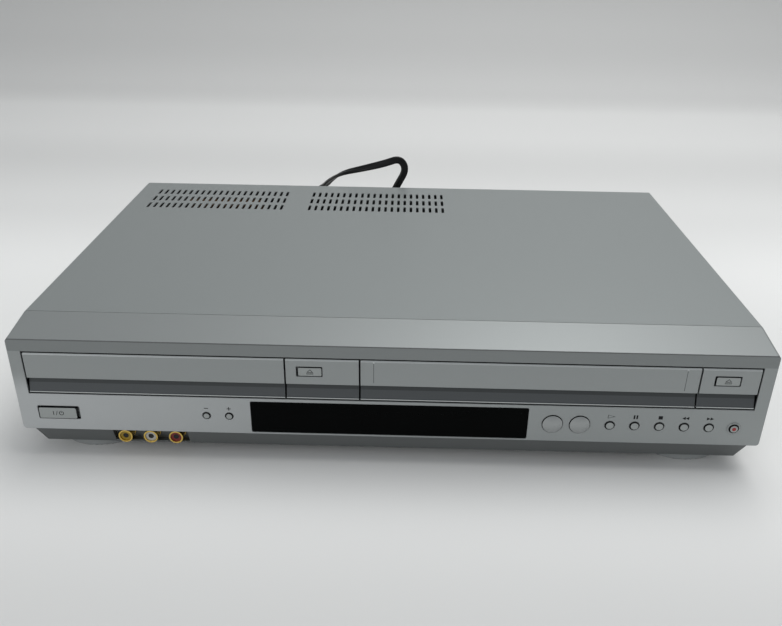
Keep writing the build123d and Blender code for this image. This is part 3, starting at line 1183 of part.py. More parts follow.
for reel_label, side in (("supply_reel", -1), ("takeup_reel", 1)):
    reel_x = door_mid + side * REEL_SPACING / 2
    with BuildPart() as reel:
        rod_up(reel_x, reel_depth, REEL_RADIUS, deck_high + SEAT_GAP, deck_high + REEL_THICKNESS)
        rod_up(reel_x, reel_depth, REEL_HUB_RADIUS, deck_high + REEL_THICKNESS, deck_high + REEL_HUB_RISE)
        with BuildSketch(Plane.XY.offset(deck_high + REEL_THICKNESS)) as lugs:
            with Locations((reel_x, FRONT + reel_depth)):
                with PolarLocations(REEL_HUB_RADIUS, 3):
                    Rectangle(2 * RACK_RIB, RACK_RIB)
        extrude(lugs.sketch, amount=REEL_HUB_RISE - REEL_THICKNESS)
        rod_up(reel_x, reel_depth, REEL_PIN_RADIUS + RUNNING_GAP, deck_high, deck_high + REEL_HUB_RISE + 1,
               mode=Mode.SUBTRACT)
    pieces[reel_label] = reel

drum_plane = Plane(origin=(door_mid, FRONT + drum_depth, deck_high + DRUM_RISE),
                   x_dir=(1, 0, 0),
                   z_dir=(0, math.sin(math.radians(DRUM_TILT)), math.cos(math.radians(DRUM_TILT))))

with BuildPart() as lower_drum:
    with BuildSketch(drum_plane):
        Circle(DRUM_RADIUS)
    extrude(amount=LOWER_DRUM_HEIGHT)
    with BuildSketch(Plane.XY.offset(deck_high)):
        with Locations((door_mid, FRONT + drum_depth)):
            Circle(DRUM_BASE_RADIUS)
    extrude(amount=DRUM_RISE + LOWER_DRUM_HEIGHT / 3)
    with BuildSketch(drum_plane.offset(LOWER_DRUM_HEIGHT)):
        Circle(DRUM_SHAFT_RADIUS)
    extrude(amount=UPPER_DRUM_HEIGHT)

with BuildPart() as upper_drum:
    with BuildSketch(drum_plane.offset(LOWER_DRUM_HEIGHT + DRUM_SPLIT)):
        Circle(DRUM_RADIUS)
    extrude(amount=UPPER_DRUM_HEIGHT)
    with BuildSketch(drum_plane.offset(LOWER_DRUM_HEIGHT + DRUM_SPLIT + UPPER_DRUM_HEIGHT)):
        Circle(DRUM_CAP_RADIUS)
    extrude(amount=DRUM_CAP_HEIGHT)
    with BuildSketch(drum_plane.offset(LOWER_DRUM_HEIGHT)):
        Circle(DRUM_SHAFT_RADIUS + RUNNING_GAP)
    extrude(amount=UPPER_DRUM_HEIGHT + DRUM_SPLIT, mode=Mode.SUBTRACT)

with BuildPart() as capstan:
    flywheel_low = floor_top + FLYWHEEL_GAP
    rod_up(capstan_x, capstan_depth, FLYWHEEL_RADIUS, flywheel_low, flywheel_low + FLYWHEEL_THICKNESS)
    rod_up(capstan_x, capstan_depth, CAPSTAN_RADIUS, flywheel_low, deck_high + CAPSTAN_RISE)

with BuildPart() as pinch_roller:
    rod_up(roller_x, capstan_depth, ROLLER_RADIUS, deck_high + ROLLER_RISE,
           deck_high + ROLLER_RISE + ROLLER_HEIGHT)
    rod_up(roller_x, capstan_depth, ROLLER_PIN_RADIUS + RUNNING_GAP, deck_high, deck_high + CAPSTAN_RISE,
           mode=Mode.SUBTRACT)

# ---------------------------------------------------------------- boards along the back
CAPACITOR_RADIUS = 9.0
CAPACITOR_HEIGHT = 26.0
SMALL_CAPACITOR_RADIUS = 5.0
SMALL_CAPACITOR_HEIGHT = 16.0
SMALL_CAPACITOR_PITCH = 13.0
HEAT_SINK_WIDTH = 3.0
HEAT_SINK_LENGTH = 40.0
HEAT_SINK_HEIGHT = 38.0
TRANSFORMER_WIDTH = 62.0
TRANSFORMER_LENGTH = 20.0
TRANSFORMER_HEIGHT = 59.0
TRANSFORMER_BACK_GAP = 2.0
TRANSFORMER_INSET = 11.0
TRANSFORMER_CORE = 4.0
TUNER_WIDTH = 46.0
TUNER_BACK_GAP = 8.0
CHIP_SIZE = 18.0
CHIP_HEIGHT = 2.0

power_board_high = power_board_low + BOARD_THICKNESS
power_mid_depth = (power_board_near + board_far) / 2
transformer_right = power_board_right - TRANSFORMER_INSET
transformer_far = board_far - TRANSFORMER_BACK_GAP
transformer_near = transformer_far - TRANSFORMER_LENGTH
main_board_high = main_board_low + BOARD_THICKNESS

with BuildPart() as power_board:
    block(power_board_left, power_board_right, power_board_near, board_far, power_board_low, power_board_high)
    rod_up(power_board_left + 2.5 * CAPACITOR_RADIUS, power_mid_depth, CAPACITOR_RADIUS, power_board_high,
           power_board_high + CAPACITOR_HEIGHT)
    for place in (-2, -1, 0):
        rod_up(power_board_right - 2.5 * SMALL_CAPACITOR_RADIUS,
               power_mid_depth + SMALL_CAPACITOR_PITCH * place, SMALL_CAPACITOR_RADIUS,
               power_board_high, power_board_high + SMALL_CAPACITOR_HEIGHT)
    block(power_board_right - 6 * SMALL_CAPACITOR_RADIUS, power_board_right - 6 * SMALL_CAPACITOR_RADIUS
          + HEAT_SINK_WIDTH, transformer_near - BOARD_EDGE - HEAT_SINK_LENGTH, transformer_near - BOARD_EDGE,
          power_board_high, power_board_high + HEAT_SINK_HEIGHT)

with BuildPart() as power_transformer:
    block(transformer_right - TRANSFORMER_WIDTH, transformer_right, transformer_near + TRANSFORMER_CORE,
          transformer_far - TRANSFORMER_CORE, power_board_high, power_board_high + TRANSFORMER_HEIGHT)
    block(transformer_right - TRANSFORMER_WIDTH + 2 * TRANSFORMER_CORE,
          transformer_right - 2 * TRANSFORMER_CORE, transformer_near, transformer_far, power_board_high,
          power_board_high + TRANSFORMER_HEIGHT - TRANSFORMER_CORE / 4)

jack_block_half = REAR_JACK_PITCH * REAR_JACK_COLUMNS / 2
jack_block_high = REAR_JACK_LOW + REAR_JACK_PITCH * (REAR_JACK_ROWS - 1) + 2 * JACK_SHELL_RADIUS

with BuildPart() as main_board:
    block(main_board_left, main_board_right, main_board_near, board_far, main_board_low, main_board_high)
    block(REAR_JACKS_X - jack_block_half, REAR_JACKS_X + jack_block_half, board_far - TUNER_BACK_GAP,
          rear_inner - SOCKET_BODY_LENGTH, main_board_high, jack_block_high)
    block(ANTENNA_X - TUNER_WIDTH / 2, ANTENNA_X + TUNER_WIDTH / 2, main_board_near + TUNER_BACK_GAP,
          rear_inner - SOCKET_BODY_LENGTH, main_board_high, REAR_JACK_LOW + ANTENNA_PITCH
          + ANTENNA_FLANGE_RADIUS)
    for place in (0, 1, 2):
        chip_x = main_board_left + CHIP_SIZE + 1.5 * CHIP_SIZE * place
        block(chip_x - CHIP_SIZE / 2, chip_x + CHIP_SIZE / 2, main_board_near + CHIP_SIZE / 2,
              main_board_near + CHIP_SIZE * 3 / 2, main_board_high, main_board_high + CHIP_HEIGHT)

# ---------------------------------------------------------------- mains lead
CORD_WIDTH = 6.2
COIL_RADIUS = 34.0
COIL_STEP = 6.8
COIL_TURNS_EACH_WAY = 3
COIL_X = -84.0
COIL_BEHIND = 78.0
COIL_TURNS_EXTRA = 0.25
FLOOR_SLACK = 0.1
STRAIGHT_END = 6.2
COIL_TAIL = 26.0

gland_tip = rear_outer + GLAND_HEAD_THICKNESS + GLAND_TAPER_LENGTH
cord_radius = CORD_WIDTH / 2
floor_z = cord_radius + FLOOR_SLACK
coil_centre_y = FRONT + CASE_DEPTH + COIL_BEHIND

with BuildPart() as cord_strain_relief:
    rod_in(CORD_X, CORD_Z, GLAND_NECK_RADIUS, rear_inner - GLAND_HEAD_THICKNESS, rear_outer)
    rod_in(CORD_X, CORD_Z, GLAND_RADIUS, rear_outer, rear_outer + GLAND_HEAD_THICKNESS)
    rod_in(CORD_X, CORD_Z, GLAND_RADIUS, rear_inner - GLAND_HEAD_THICKNESS, rear_inner - BUTTON_FIT)
    with BuildSketch(face_plane(rear_outer + GLAND_HEAD_THICKNESS)) as boot_root:
        with Locations((CORD_X, CORD_Z)):
            Circle(GLAND_NECK_RADIUS + BUTTON_FIT)
    with BuildSketch(face_plane(gland_tip)) as boot_tip:
        with Locations((CORD_X, CORD_Z)):
            Circle(cord_radius + 2 * BUTTON_FIT)
    loft([boot_root.sketch.face(), boot_tip.sketch.face()])

# The free stretch, as X, distance behind the rear edge, and height: out of the boot, up and over
# behind the rear edge, a fold at the top, then down to the floor and into the coil.
CORD_ROUTE = [
    (CORD_X, 46.0, CORD_Z),
    (-135.0, 68.0, 32.5),
    (-122.0, 85.0, 38.0),
    (-103.0, 91.5, 44.0),
    (-83.0, 86.0, 52.0),
    (-70.0, 68.0, 62.0),
    (-62.0, 46.5, 75.0),
    (-50.0, 27.0, 87.5),
    (-32.0, 18.5, 94.0),
    (-12.0, 18.5, 99.0),
    (1.0, 20.5, 103.5),
    (7.0, 19.5, 94.0),
    (-0.5, 17.0, 81.0),
    (-8.0, 15.5, 66.0),
    (-18.0, 15.5, 50.0),
    (-27.0, 18.0, 35.0),
    (-34.0, 25.5, 21.0),
    (-38.5, 39.0, 10.5),
    (-39.8, 54.0, 4.6),
]


def coil_radius(turns):
    """The distance from the coil's axis: inwards by one step a turn, then outwards again."""
    return COIL_RADIUS + COIL_STEP * (abs(turns - COIL_TURNS_EACH_WAY) - COIL_TURNS_EACH_WAY / 2)


def coil_point(turns):
    """A point of the coil: a flat spiral in, a climb of one step in the half turn at its
    inner end, and a flat spiral out on top."""
    start = COIL_TURNS_EACH_WAY - 0.25
    share = max(0.0, min(1.0, (turns - start) / 0.5))
    climb = COIL_STEP * share * share * (3 - 2 * share)
    angle = 2 * math.pi * turns
    radius = coil_radius(turns)
    return Vector(COIL_X + radius * math.cos(angle), coil_centre_y + radius * math.sin(angle),
                  floor_z + climb)


def coil_heading(turns):
    """The direction of the coil at a point, from points a hair before and after."""
    hair = 1e-4
    return (coil_point(turns + hair) - coil_point(turns - hair)).normalized()


def biarc(start, start_heading, end, end_heading):
    """Two tangent arcs from one point and heading to another: the joint halfway is the one
    that gives both arcs tangents of the same length."""
    gap = end - start
    both = start_heading + end_heading
    spread = 2 * (1 - start_heading.dot(end_heading))
    reach = (math.sqrt(gap.dot(both) ** 2 + spread * gap.dot(gap)) - gap.dot(both)) / spread
    joint = (start + start_heading * reach + end - end_heading * reach) * 0.5
    first = Edge.make_tangent_arc(start, start_heading, joint)
    second = Edge.make_tangent_arc(joint, first % 1, end)
    return [first, second]


coil_turns = 2 * COIL_TURNS_EACH_WAY + COIL_TURNS_EXTRA
quarters = int(round(4 * coil_turns))
coil_first = Vector(*coil_point(0))
coil_first_heading = Vector(0, 1, 0)
coil_last_heading = Vector(-1, 0, 0)
coil_edges = [Edge.make_line(coil_first - coil_first_heading * STRAIGHT_END, coil_first)]
last_point = coil_first
last_heading = coil_first_heading
for quarter in range(1, quarters + 1):
    next_point = coil_point(quarter / 4)
    next_heading = coil_last_heading if quarter == quarters else coil_heading(quarter / 4)
    coil_edges += biarc(last_point, last_heading, next_point, next_heading)
    last_point = next_point
    last_heading = coil_edges[-1] % 1
coil_edges.append(Edge.make_line(last_point, last_point + last_heading * COIL_TAIL))
coil_path = Wire(coil_edges)
coil_in = coil_edges[0] @ 0
coil_out = coil_edges[-1] @ 1

with BuildPart() as cord_coil:
    with BuildSketch(Plane(origin=coil_in, z_dir=coil_first_heading)) as coil_section:
        Circle(cord_radius)
    sweep(coil_section.sketch, path=coil_path)

cord_points = [Vector(x, FRONT + CASE_DEPTH + behind, z) for x, behind, z in CORD_ROUTE]
cord_points = [Vector(CORD_X, FRONT + gland_tip, CORD_Z), *cord_points,
               coil_in - coil_first_heading * STRAIGHT_END, coil_in]
cord_radii = []
for before, corner, after in zip(cord_points, cord_points[1:], cord_points[2:]):
    shorter = min((corner - before).length, (after - corner).length)
    turn = math.radians((corner - before).get_angle(after - corner))
    cord_radii.append(0.45 * shorter / math.tan(turn / 2))
print("cord radii", [round(radius, 1) for radius in cord_radii])

with BuildPart() as power_cord:
    with BuildLine() as cord_line:
        FilletPolyline(*cord_points, radius=cord_radii)
    with BuildSketch(Plane(origin=cord_line.line @ 0, z_dir=cord_line.line % 0)):
        Circle(cord_radius)
    sweep(path=cord_line.line)

cord_length = cord_line.wires()[0].length
print("cord: free", round(cord_length, 1), "coil", round(coil_path.length, 1), "mm")
print("cord volume against section times length",
      round(power_cord.part.volume / (math.pi * cord_radius ** 2 * cord_length), 4),
      round(cord_coil.part.volume / (math.pi * cord_radius ** 2 * coil_path.length), 4))

COIL_SAMPLES = 48
samples = [coil_path.position_at(step / (COIL_SAMPLES * quarters / 4))
           for step in range(int(COIL_SAMPLES * quarters / 4) + 1)]
skip = COIL_SAMPLES // 3
least = min((samples[first] - samples[second]).length
            for first in range(len(samples)) for second in range(first + skip, len(samples)))
print("least gap of the coil to itself", round(least - CORD_WIDTH, 2), "mm")

PLUG_LENGTH = 26.0
PLUG_WIDTH = 15.0
PLUG_CORNER = 3.0
BLADE_LENGTH = 17.5
BLADE_WIDTH = 6.3
BLADE_THICKNESS = 1.5
BLADE_SPACING = 12.7

with BuildPart() as power_plug:
    plug_high = 2 * coil_out.Z
    with BuildSketch(Plane(origin=coil_out, x_dir=(0, 1, 0), z_dir=(-1, 0, 0))) as plug_section:
        RectangleRounded(PLUG_WIDTH, plug_high, PLUG_CORNER)
    extrude(plug_section.sketch, amount=PLUG_LENGTH)
    for side in (-1, 1):
        with Locations((coil_out.X - PLUG_LENGTH - BLADE_LENGTH / 2, coil_out.Y,
                        coil_out.Z + side * BLADE_SPACING / 2)):
            Box(BLADE_LENGTH, BLADE_WIDTH, BLADE_THICKNESS)

# ---------------------------------------------------------------- write the pieces
pieces.update(
    bottom_chassis=bottom_chassis, feet=feet, front_bezel=front_bezel, top_cover=top_cover,
    rear_panel=rear_panel, rear_sockets=rear_sockets, cover_screws=cover_screws,
    display_window=display_window, display_tube=display_tube, front_board=front_board,
    power_button=power_button, disc_eject_panel=disc_eject_panel, tape_eject_panel=tape_eject_panel,
    disc_eject_button=disc_eject_button, tape_eject_button=tape_eject_button, tray_front=tray_front,
    cassette_door=cassette_door, front_jack_shells=front_jack_shells, loader_frame=loader_frame,
    disc_tray=disc_tray, tray_pinion=tray_pinion, tray_motor=tray_motor, motor_pulley=motor_pulley,
    tray_belt=tray_belt, clamp_bridge=clamp_bridge, clamp_puck=clamp_puck,
    traverse_frame=traverse_frame, sled_rods=sled_rods, pickup_sled=pickup_sled,
    spindle_motor=spindle_motor, turntable=turntable, deck_frame=deck_frame,
    carriage_slider=carriage_slider, cassette_holder=cassette_holder, lower_drum=lower_drum,
    upper_drum=upper_drum, capstan=capstan, pinch_roller=pinch_roller, power_board=power_board,
    power_transformer=power_transformer, main_board=main_board,
    cord_strain_relief=cord_strain_relief, power_cord=power_cord, cord_coil=cord_coil,
    power_plug=power_plug)

for label, piece in pieces.items():
    piece.part.label = label
    export_step(piece.part, f"parts/{label}.step")
print(len(pieces), "pieces")
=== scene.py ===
import math

import bpy
import numpy as np
from mathutils import Matrix, Vector


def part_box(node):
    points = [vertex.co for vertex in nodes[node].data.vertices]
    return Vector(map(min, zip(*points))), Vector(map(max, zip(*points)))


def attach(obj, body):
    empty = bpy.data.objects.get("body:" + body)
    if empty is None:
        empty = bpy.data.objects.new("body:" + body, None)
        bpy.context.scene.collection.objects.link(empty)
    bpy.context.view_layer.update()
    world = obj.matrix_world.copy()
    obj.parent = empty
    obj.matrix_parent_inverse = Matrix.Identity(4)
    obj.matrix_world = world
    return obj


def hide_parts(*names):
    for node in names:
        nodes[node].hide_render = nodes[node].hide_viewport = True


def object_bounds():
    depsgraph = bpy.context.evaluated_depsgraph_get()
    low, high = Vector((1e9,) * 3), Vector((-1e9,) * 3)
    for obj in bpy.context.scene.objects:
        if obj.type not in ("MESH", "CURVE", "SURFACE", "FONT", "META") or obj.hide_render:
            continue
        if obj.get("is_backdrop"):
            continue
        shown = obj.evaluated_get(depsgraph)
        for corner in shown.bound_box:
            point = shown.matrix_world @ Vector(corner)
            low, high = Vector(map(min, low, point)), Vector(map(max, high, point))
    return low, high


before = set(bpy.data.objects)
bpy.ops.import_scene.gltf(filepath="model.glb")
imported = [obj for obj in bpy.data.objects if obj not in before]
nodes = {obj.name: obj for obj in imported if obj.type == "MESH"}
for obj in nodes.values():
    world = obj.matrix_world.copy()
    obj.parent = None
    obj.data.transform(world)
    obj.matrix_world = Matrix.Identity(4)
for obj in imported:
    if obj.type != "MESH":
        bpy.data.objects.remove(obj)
cad_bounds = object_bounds()
MM = 0.001

# ---------------------------------------------------------------- camera, fitted to the photograph
FRONT = -140.7 * MM
CAMERA_X = 6.82 * MM
CAMERA_TO_FRONT = 389.93 * MM
CAMERA_HEIGHT = 295.18 * MM
FOCAL_PX = 805.89
IMAGE_WIDTH_PX = 782
SENSOR_MM = 36.0
YAW = math.radians(-0.9653)
PITCH = math.radians(26.509)
ROLL = math.radians(0.8436)
NEAREST_SEEN = 0.01
FARTHEST_SEEN = 20.0

forward = Vector((math.sin(YAW) * math.cos(PITCH), math.cos(YAW) * math.cos(PITCH), -math.sin(PITCH)))
level_right = forward.cross(Vector((0, 0, 1))).normalized()
level_up = level_right.cross(forward)
right = level_right * math.cos(ROLL) + level_up * math.sin(ROLL)
up = level_up * math.cos(ROLL) - level_right * math.sin(ROLL)

camera_data = bpy.data.cameras.new("camera")
camera_data.sensor_width = SENSOR_MM
camera_data.lens = FOCAL_PX * SENSOR_MM / IMAGE_WIDTH_PX
camera_data.clip_start = NEAREST_SEEN
camera_data.clip_end = FARTHEST_SEEN
camera = bpy.data.objects.new("camera", camera_data)
bpy.context.scene.collection.objects.link(camera)
camera_turn = Matrix((right, up, -forward)).transposed().to_4x4()
camera_place = Vector((CAMERA_X, FRONT - CAMERA_TO_FRONT, CAMERA_HEIGHT))
camera.matrix_world = Matrix.Translation(camera_place) @ camera_turn
bpy.context.scene.camera = camera


# ---------------------------------------------------------------- small shape helpers
def mesh_object(name, points, faces, material, smooth=False):
    """A mesh object at the origin from vertex positions and faces, both as arrays."""
    mesh = bpy.data.meshes.new(name)
    mesh.from_pydata(np.asarray(points, float).tolist(), [], [list(map(int, face)) for face in faces])
    if smooth:
        mesh.shade_smooth()
    mesh.update()
    obj = bpy.data.objects.new(name, mesh)
    obj.data.materials.append(material)
    bpy.context.scene.collection.objects.link(obj)
    return obj


def grid_faces(rows, columns, closed=True):
    """Quads between neighbouring points of a grid numbered row by row, closed around each row or open."""
    column_count = columns if closed else columns - 1
    row, column = np.meshgrid(np.arange(rows - 1), np.arange(column_count), indexing="ij")
    next_column = (column + 1) % columns
    quads = np.stack([row * columns + column, row * columns + next_column,
                      (row + 1) * columns + next_column, (row + 1) * columns + column], axis=-1)
    return quads.reshape(-1, 4)


# ---------------------------------------------------------------- material helpers
def linear(srgb):
    """An sRGB colour in 0..255 as linear values."""
    share = np.asarray(srgb, float) / 255
    return np.where(share <= 0.04045, share / 12.92, ((share + 0.055) / 1.055) ** 2.4)


def rgba(srgb):
    """An sRGB colour in 0..255 as a linear colour with full alpha."""
    return (*[float(value) for value in linear(srgb)], 1.0)


def feed(tree, socket, value):
    """Sets a socket to a value, or links another node's output to it."""
    if isinstance(value, bpy.types.NodeSocket):
        tree.links.new(value, socket)
    else:
        socket.default_value = value


def maths(tree, operation, *values):
    """The output of a maths node; each value is a number or another node's output."""
    node = tree.nodes.new("ShaderNodeMath")
    node.operation = operation
    for socket, value in zip(node.inputs, values):
        feed(tree, socket, value)
    return node.outputs[0]


def object_space(tree, output="Object"):
    """The X, Y and Z outputs of a surface's place in object space, or of its normal."""
    coordinates = tree.nodes.new("ShaderNodeTexCoord")
    split = tree.nodes.new("ShaderNodeSeparateXYZ")
    tree.links.new(coordinates.outputs[output], split.inputs[0])
    return split.outputs


def new_group(name, values, result):
    """A shared group with number inputs and one number output: the group, its inputs and its exit."""
    group = bpy.data.node_groups.new(name, "ShaderNodeTree")
    for value in values:
        group.interface.new_socket(value, in_out="INPUT", socket_type="NodeSocketFloat")
    group.interface.new_socket(result, in_out="OUTPUT", socket_type="NodeSocketFloat")
    entry = group.nodes.new("NodeGroupInput")
    leave = group.nodes.new("NodeGroupOutput")
    return group, entry.outputs, leave.inputs[result]


def grain_group():
    """Object-space noise at a given scale, as a value around one."""
    group, given, value = new_group("grain", ("Scale", "Depth"), "Value")
    place = group.nodes.new("ShaderNodeTexCoord")
    noise = group.nodes.new("ShaderNodeTexNoise")
    noise.inputs["Detail"].default_value = 2.0
    group.links.new(place.outputs["Object"], noise.inputs["Vector"])
    group.links.new(given["Scale"], noise.inputs["Scale"])
    around_zero = maths(group, "SUBTRACT", noise.outputs["Fac"], 0.5)
    group.links.new(maths(group, "MULTIPLY_ADD", around_zero, given["Depth"], 1.0), value)
    return group


def band_group():
    """A mask that is one between two heights of object space."""
    group, given, mask = new_group("height_band", ("Low", "High"), "Mask")
    height = object_space(group)["Z"]
    above = maths(group, "GREATER_THAN", height, given["Low"])
    below = maths(group, "LESS_THAN", height, given["High"])
    group.links.new(maths(group, "MULTIPLY", above, below), mask)
    return group


def hollow_group():
    """A mask that is one inside a box of object space seen from the front: deeper than Depth, nearer
    the middle than Reach, and between the heights Low and High."""
    group, given, mask = new_group("hollow", ("Depth", "Reach", "Low", "High"), "Mask")
    place = object_space(group)
    from_middle = maths(group, "ABSOLUTE", place["X"])
    tests = (("GREATER_THAN", place["Y"], "Depth"), ("LESS_THAN", from_middle, "Reach"),
             ("GREATER_THAN", place["Z"], "Low"), ("LESS_THAN", place["Z"], "High"))
    inside = 1.0
    for operation, value, limit in tests:
        inside = maths(group, "MULTIPLY", inside, maths(group, operation, value, given[limit]))
    group.links.new(inside, mask)
    return group


def rim_group():
    """A mask that is one where a surface turns away from the front, so where the forward share of its
    normal is less than Limit."""
    group, given, mask = new_group("rim", ("Limit",), "Mask")
    forward_share = maths(group, "MULTIPLY", object_space(group, "Normal")["Y"], -1.0)
    group.links.new(maths(group, "LESS_THAN", forward_share, given["Limit"]), mask)
    return group


GRAIN = grain_group()
BAND = band_group()
HOLLOW = hollow_group()
RIM = rim_group()
BUMP_DEPTH = 0.1 * MM


def placed(tree, group, **values):
    """The output of a shared group placed in a material with its own values."""
    node = tree.nodes.new("ShaderNodeGroup")
    node.node_tree = group
    for name, value in values.items():
        node.inputs[name].default_value = value
    return node.outputs[0]


def laid_over(tree, under, srgb, mask):
    """A colour laid over another one where a mask is one."""
    mix = tree.nodes.new("ShaderNodeMix")
    mix.data_type = "RGBA"
    feed(tree, mix.inputs["A"], under)
    mix.inputs["B"].default_value = rgba(srgb)
    tree.links.new(mask, mix.inputs["Factor"])
    return mix.outputs["Result"]


def smooth_share(tree, value, start, end):
    """A share that goes smoothly from 0 to 1 while a value goes from start to end."""
    share = tree.nodes.new("ShaderNodeMapRange")
    share.interpolation_type = "SMOOTHSTEP"
    share.inputs["From Min"].default_value = start
    share.inputs["From Max"].default_value = end
    tree.links.new(value, share.inputs["Value"])
    return share.outputs["Result"]


def surface(name, srgb, roughness, metallic=0.0, grain=0.04, grain_scale=900.0, bumps=0.0, edge=0.0,
            coat=0.0, specular=0.5, bands=(), left=None, rim=None, hollow=None):
    """A material with object-space grain in its colour and roughness, an optional fine bump and an
    optional softened edge in metres. Other colours are laid over in this order: bands (low, high,
    colour), which carry two-tone paint, painted shade and painted highlights; a painted reflection that
    grows to the left below a height (low, high, fade, from x, to x, colour); a dark colour on what turns
    away from the front (limit, colour), painted shade on the domes and partly on the keys; and painted
    shade in a hollow (depth, reach, low, high, colour)."""
    material = bpy.data.materials.new(name)
    material.use_nodes = True
    tree = material.node_tree
    shader = tree.nodes["Principled BSDF"]
    shader.inputs["Metallic"].default_value = metallic
    shader.inputs["Coat Weight"].default_value = coat
    shader.inputs["Specular IOR Level"].default_value = specular
    speckle = placed(tree, GRAIN, Scale=grain_scale, Depth=grain)

    colour = rgba(srgb)
    for low, high, band_colour in bands:
        colour = laid_over(tree, colour, band_colour, placed(tree, BAND, Low=low, High=high))
    # A painted reflection that grows to the left below a height.
    if left:
        low, high, fade, from_x, to_x, left_reflection_colour = left
        place = object_space(tree)
        faded = maths(tree, "MULTIPLY", placed(tree, BAND, Low=low, High=high),
                      smooth_share(tree, place["Z"], high, high - fade))
        reflection_share = maths(tree, "MULTIPLY", faded, smooth_share(tree, place["X"], from_x, to_x))
        colour = laid_over(tree, colour, left_reflection_colour, reflection_share)
    if rim:
        limit, rim_colour = rim
        colour = laid_over(tree, colour, rim_colour, placed(tree, RIM, Limit=limit))
    # Painted shade in a hollow.
    if hollow:
        depth, reach, low, high, hollow_shade_colour = hollow
        inside = placed(tree, HOLLOW, Depth=depth, Reach=reach, Low=low, High=high)
        colour = laid_over(tree, colour, hollow_shade_colour, inside)
    tint = tree.nodes.new("ShaderNodeMix")
    tint.data_type = "RGBA"
    tint.blend_type = "MULTIPLY"
    tint.inputs["Factor"].default_value = 1.0
    feed(tree, tint.inputs["A"], colour)
    tree.links.new(speckle, tint.inputs["B"])
    tree.links.new(tint.outputs["Result"], shader.inputs["Base Color"])
    tree.links.new(maths(tree, "MULTIPLY", speckle, roughness), shader.inputs["Roughness"])

    normal = None
    if edge:
        soft = tree.nodes.new("ShaderNodeBevel")
        soft.samples = 4
        soft.inputs["Radius"].default_value = edge
        normal = soft.outputs["Normal"]
    if bumps:
        bump = tree.nodes.new("ShaderNodeBump")
        bump.inputs["Strength"].default_value = bumps
        bump.inputs["Distance"].default_value = BUMP_DEPTH
        tree.links.new(speckle, bump.inputs["Height"])
        if normal is not None:
            tree.links.new(normal, bump.inputs["Normal"])
        normal = bump.outputs["Normal"]
    if normal is not None:
        tree.links.new(normal, shader.inputs["Normal"])
    return material


# ---------------------------------------------------------------- finishes, with painted light and shade
SILVER = (152, 156, 156)
# Painted shade: laid in the front's recess, in the gap over each panel and on the domes' rims.
SHADE = (26, 27, 28)

# Heights where the front moulding's colour changes for painted shade, and the recess that holds the panels,
# which is painted with shade.
STRIP_TOP = 19.2 * MM
RECESS_TOP = 71.6 * MM
BROW_TOP = 78.7 * MM
BROW_EDGE_TOP = 79.35 * MM
RECESS_FLOOR = 24.0 * MM
RECESS_REACH = 208.4 * MM
RECESS_DEPTH = 0.9 * MM
STRIP_SHADE_TONE = (98, 101, 101)
BROW_SHADE_TONE = (133, 137, 137)
BROW_EDGE_SHADE_TONE = (104, 107, 107)

# Painted reflection: the lower face is painted lighter towards its left end.
LEFT_TOP = 60.0 * MM
LEFT_FADE = 16.0 * MM
LEFT_FROM = 60.0 * MM
LEFT_TO = -200.0 * MM
LEFT_REFLECTION_TONE = (180, 183, 184)

# Heights on the panels: lip with a painted highlight, dark band of two-tone paint with painted shade in its
# upper part under the face, and a painted highlight as a bright line at the top edge; above it the gap over
# each panel is painted with shade.
LIP_LOW = 40.0 * MM
LIP_TOP = 45.3 * MM
BAND_TOP = 54.02 * MM
BAND_DARKEST = 50.6 * MM
LINE_LOW = 69.45 * MM
LINE_TOP = 70.25 * MM
PANEL_TOP = 75.0 * MM
BEFORE_FRONT = 9.0 * MM
PANEL_REACH = 300.0 * MM
LIP_HIGHLIGHT_TONE = (186, 190, 190)
BAND_TONE = (84, 87, 89)
BAND_SHADE_TONE = (68, 71, 72)
LINE_HIGHLIGHT_TONE = (196, 200, 200)

cover_paint = surface("cover_paint", (156, 161, 161), 0.40, metallic=0.55, grain=0.10, grain_scale=2600,
                      bumps=0.15)
# Painted shade on the sloping strip under the lower face, on the brow over the recess and in a thin line at
# the brow's top edge; a painted reflection towards the left end of the lower face; painted shade in the
# recess.
bezel_paint_and_painted_light = surface("bezel_paint_and_painted_light", SILVER, 0.38, metallic=0.5, grain=0.05, grain_scale=2200, edge=0.5 * MM,
                      bands=[(0.0, STRIP_TOP, STRIP_SHADE_TONE), (RECESS_TOP, BROW_TOP, BROW_SHADE_TONE),
                             (BROW_TOP, BROW_EDGE_TOP, BROW_EDGE_SHADE_TONE)],
                      left=(STRIP_TOP, LEFT_TOP, LEFT_FADE, LEFT_FROM, LEFT_TO, LEFT_REFLECTION_TONE),
                      hollow=(FRONT + RECESS_DEPTH, RECESS_REACH, RECESS_FLOOR, RECESS_TOP, SHADE))
# Painted highlights on the lip and along the top edge, painted shade in the upper part of the band and over
# the top of each panel; the band itself is two-tone paint.
panel_paint_and_painted_light = surface("panel_paint_and_painted_light", SILVER, 0.36, metallic=0.5, grain=0.05, grain_scale=2200, edge=0.3 * MM,
                      bands=[(LIP_TOP, BAND_TOP, BAND_TONE), (BAND_DARKEST, BAND_TOP, BAND_SHADE_TONE),
                             (LINE_LOW, LINE_TOP, LINE_HIGHLIGHT_TONE), (LIP_LOW, LIP_TOP, LIP_HIGHLIGHT_TONE)],
                      hollow=(FRONT - BEFORE_FRONT, PANEL_REACH, LINE_TOP, PANEL_TOP, SHADE))
# The keys' dark sides: partly their own dark moulding under the silver face, partly painted shade of the gap
# round each key.
button_paint_and_shade = surface("button_paint_and_shade", (158, 162, 161), 0.34, metallic=0.5, grain=0.03, edge=0.3 * MM,
                       rim=(0.82, (30, 31, 32)))
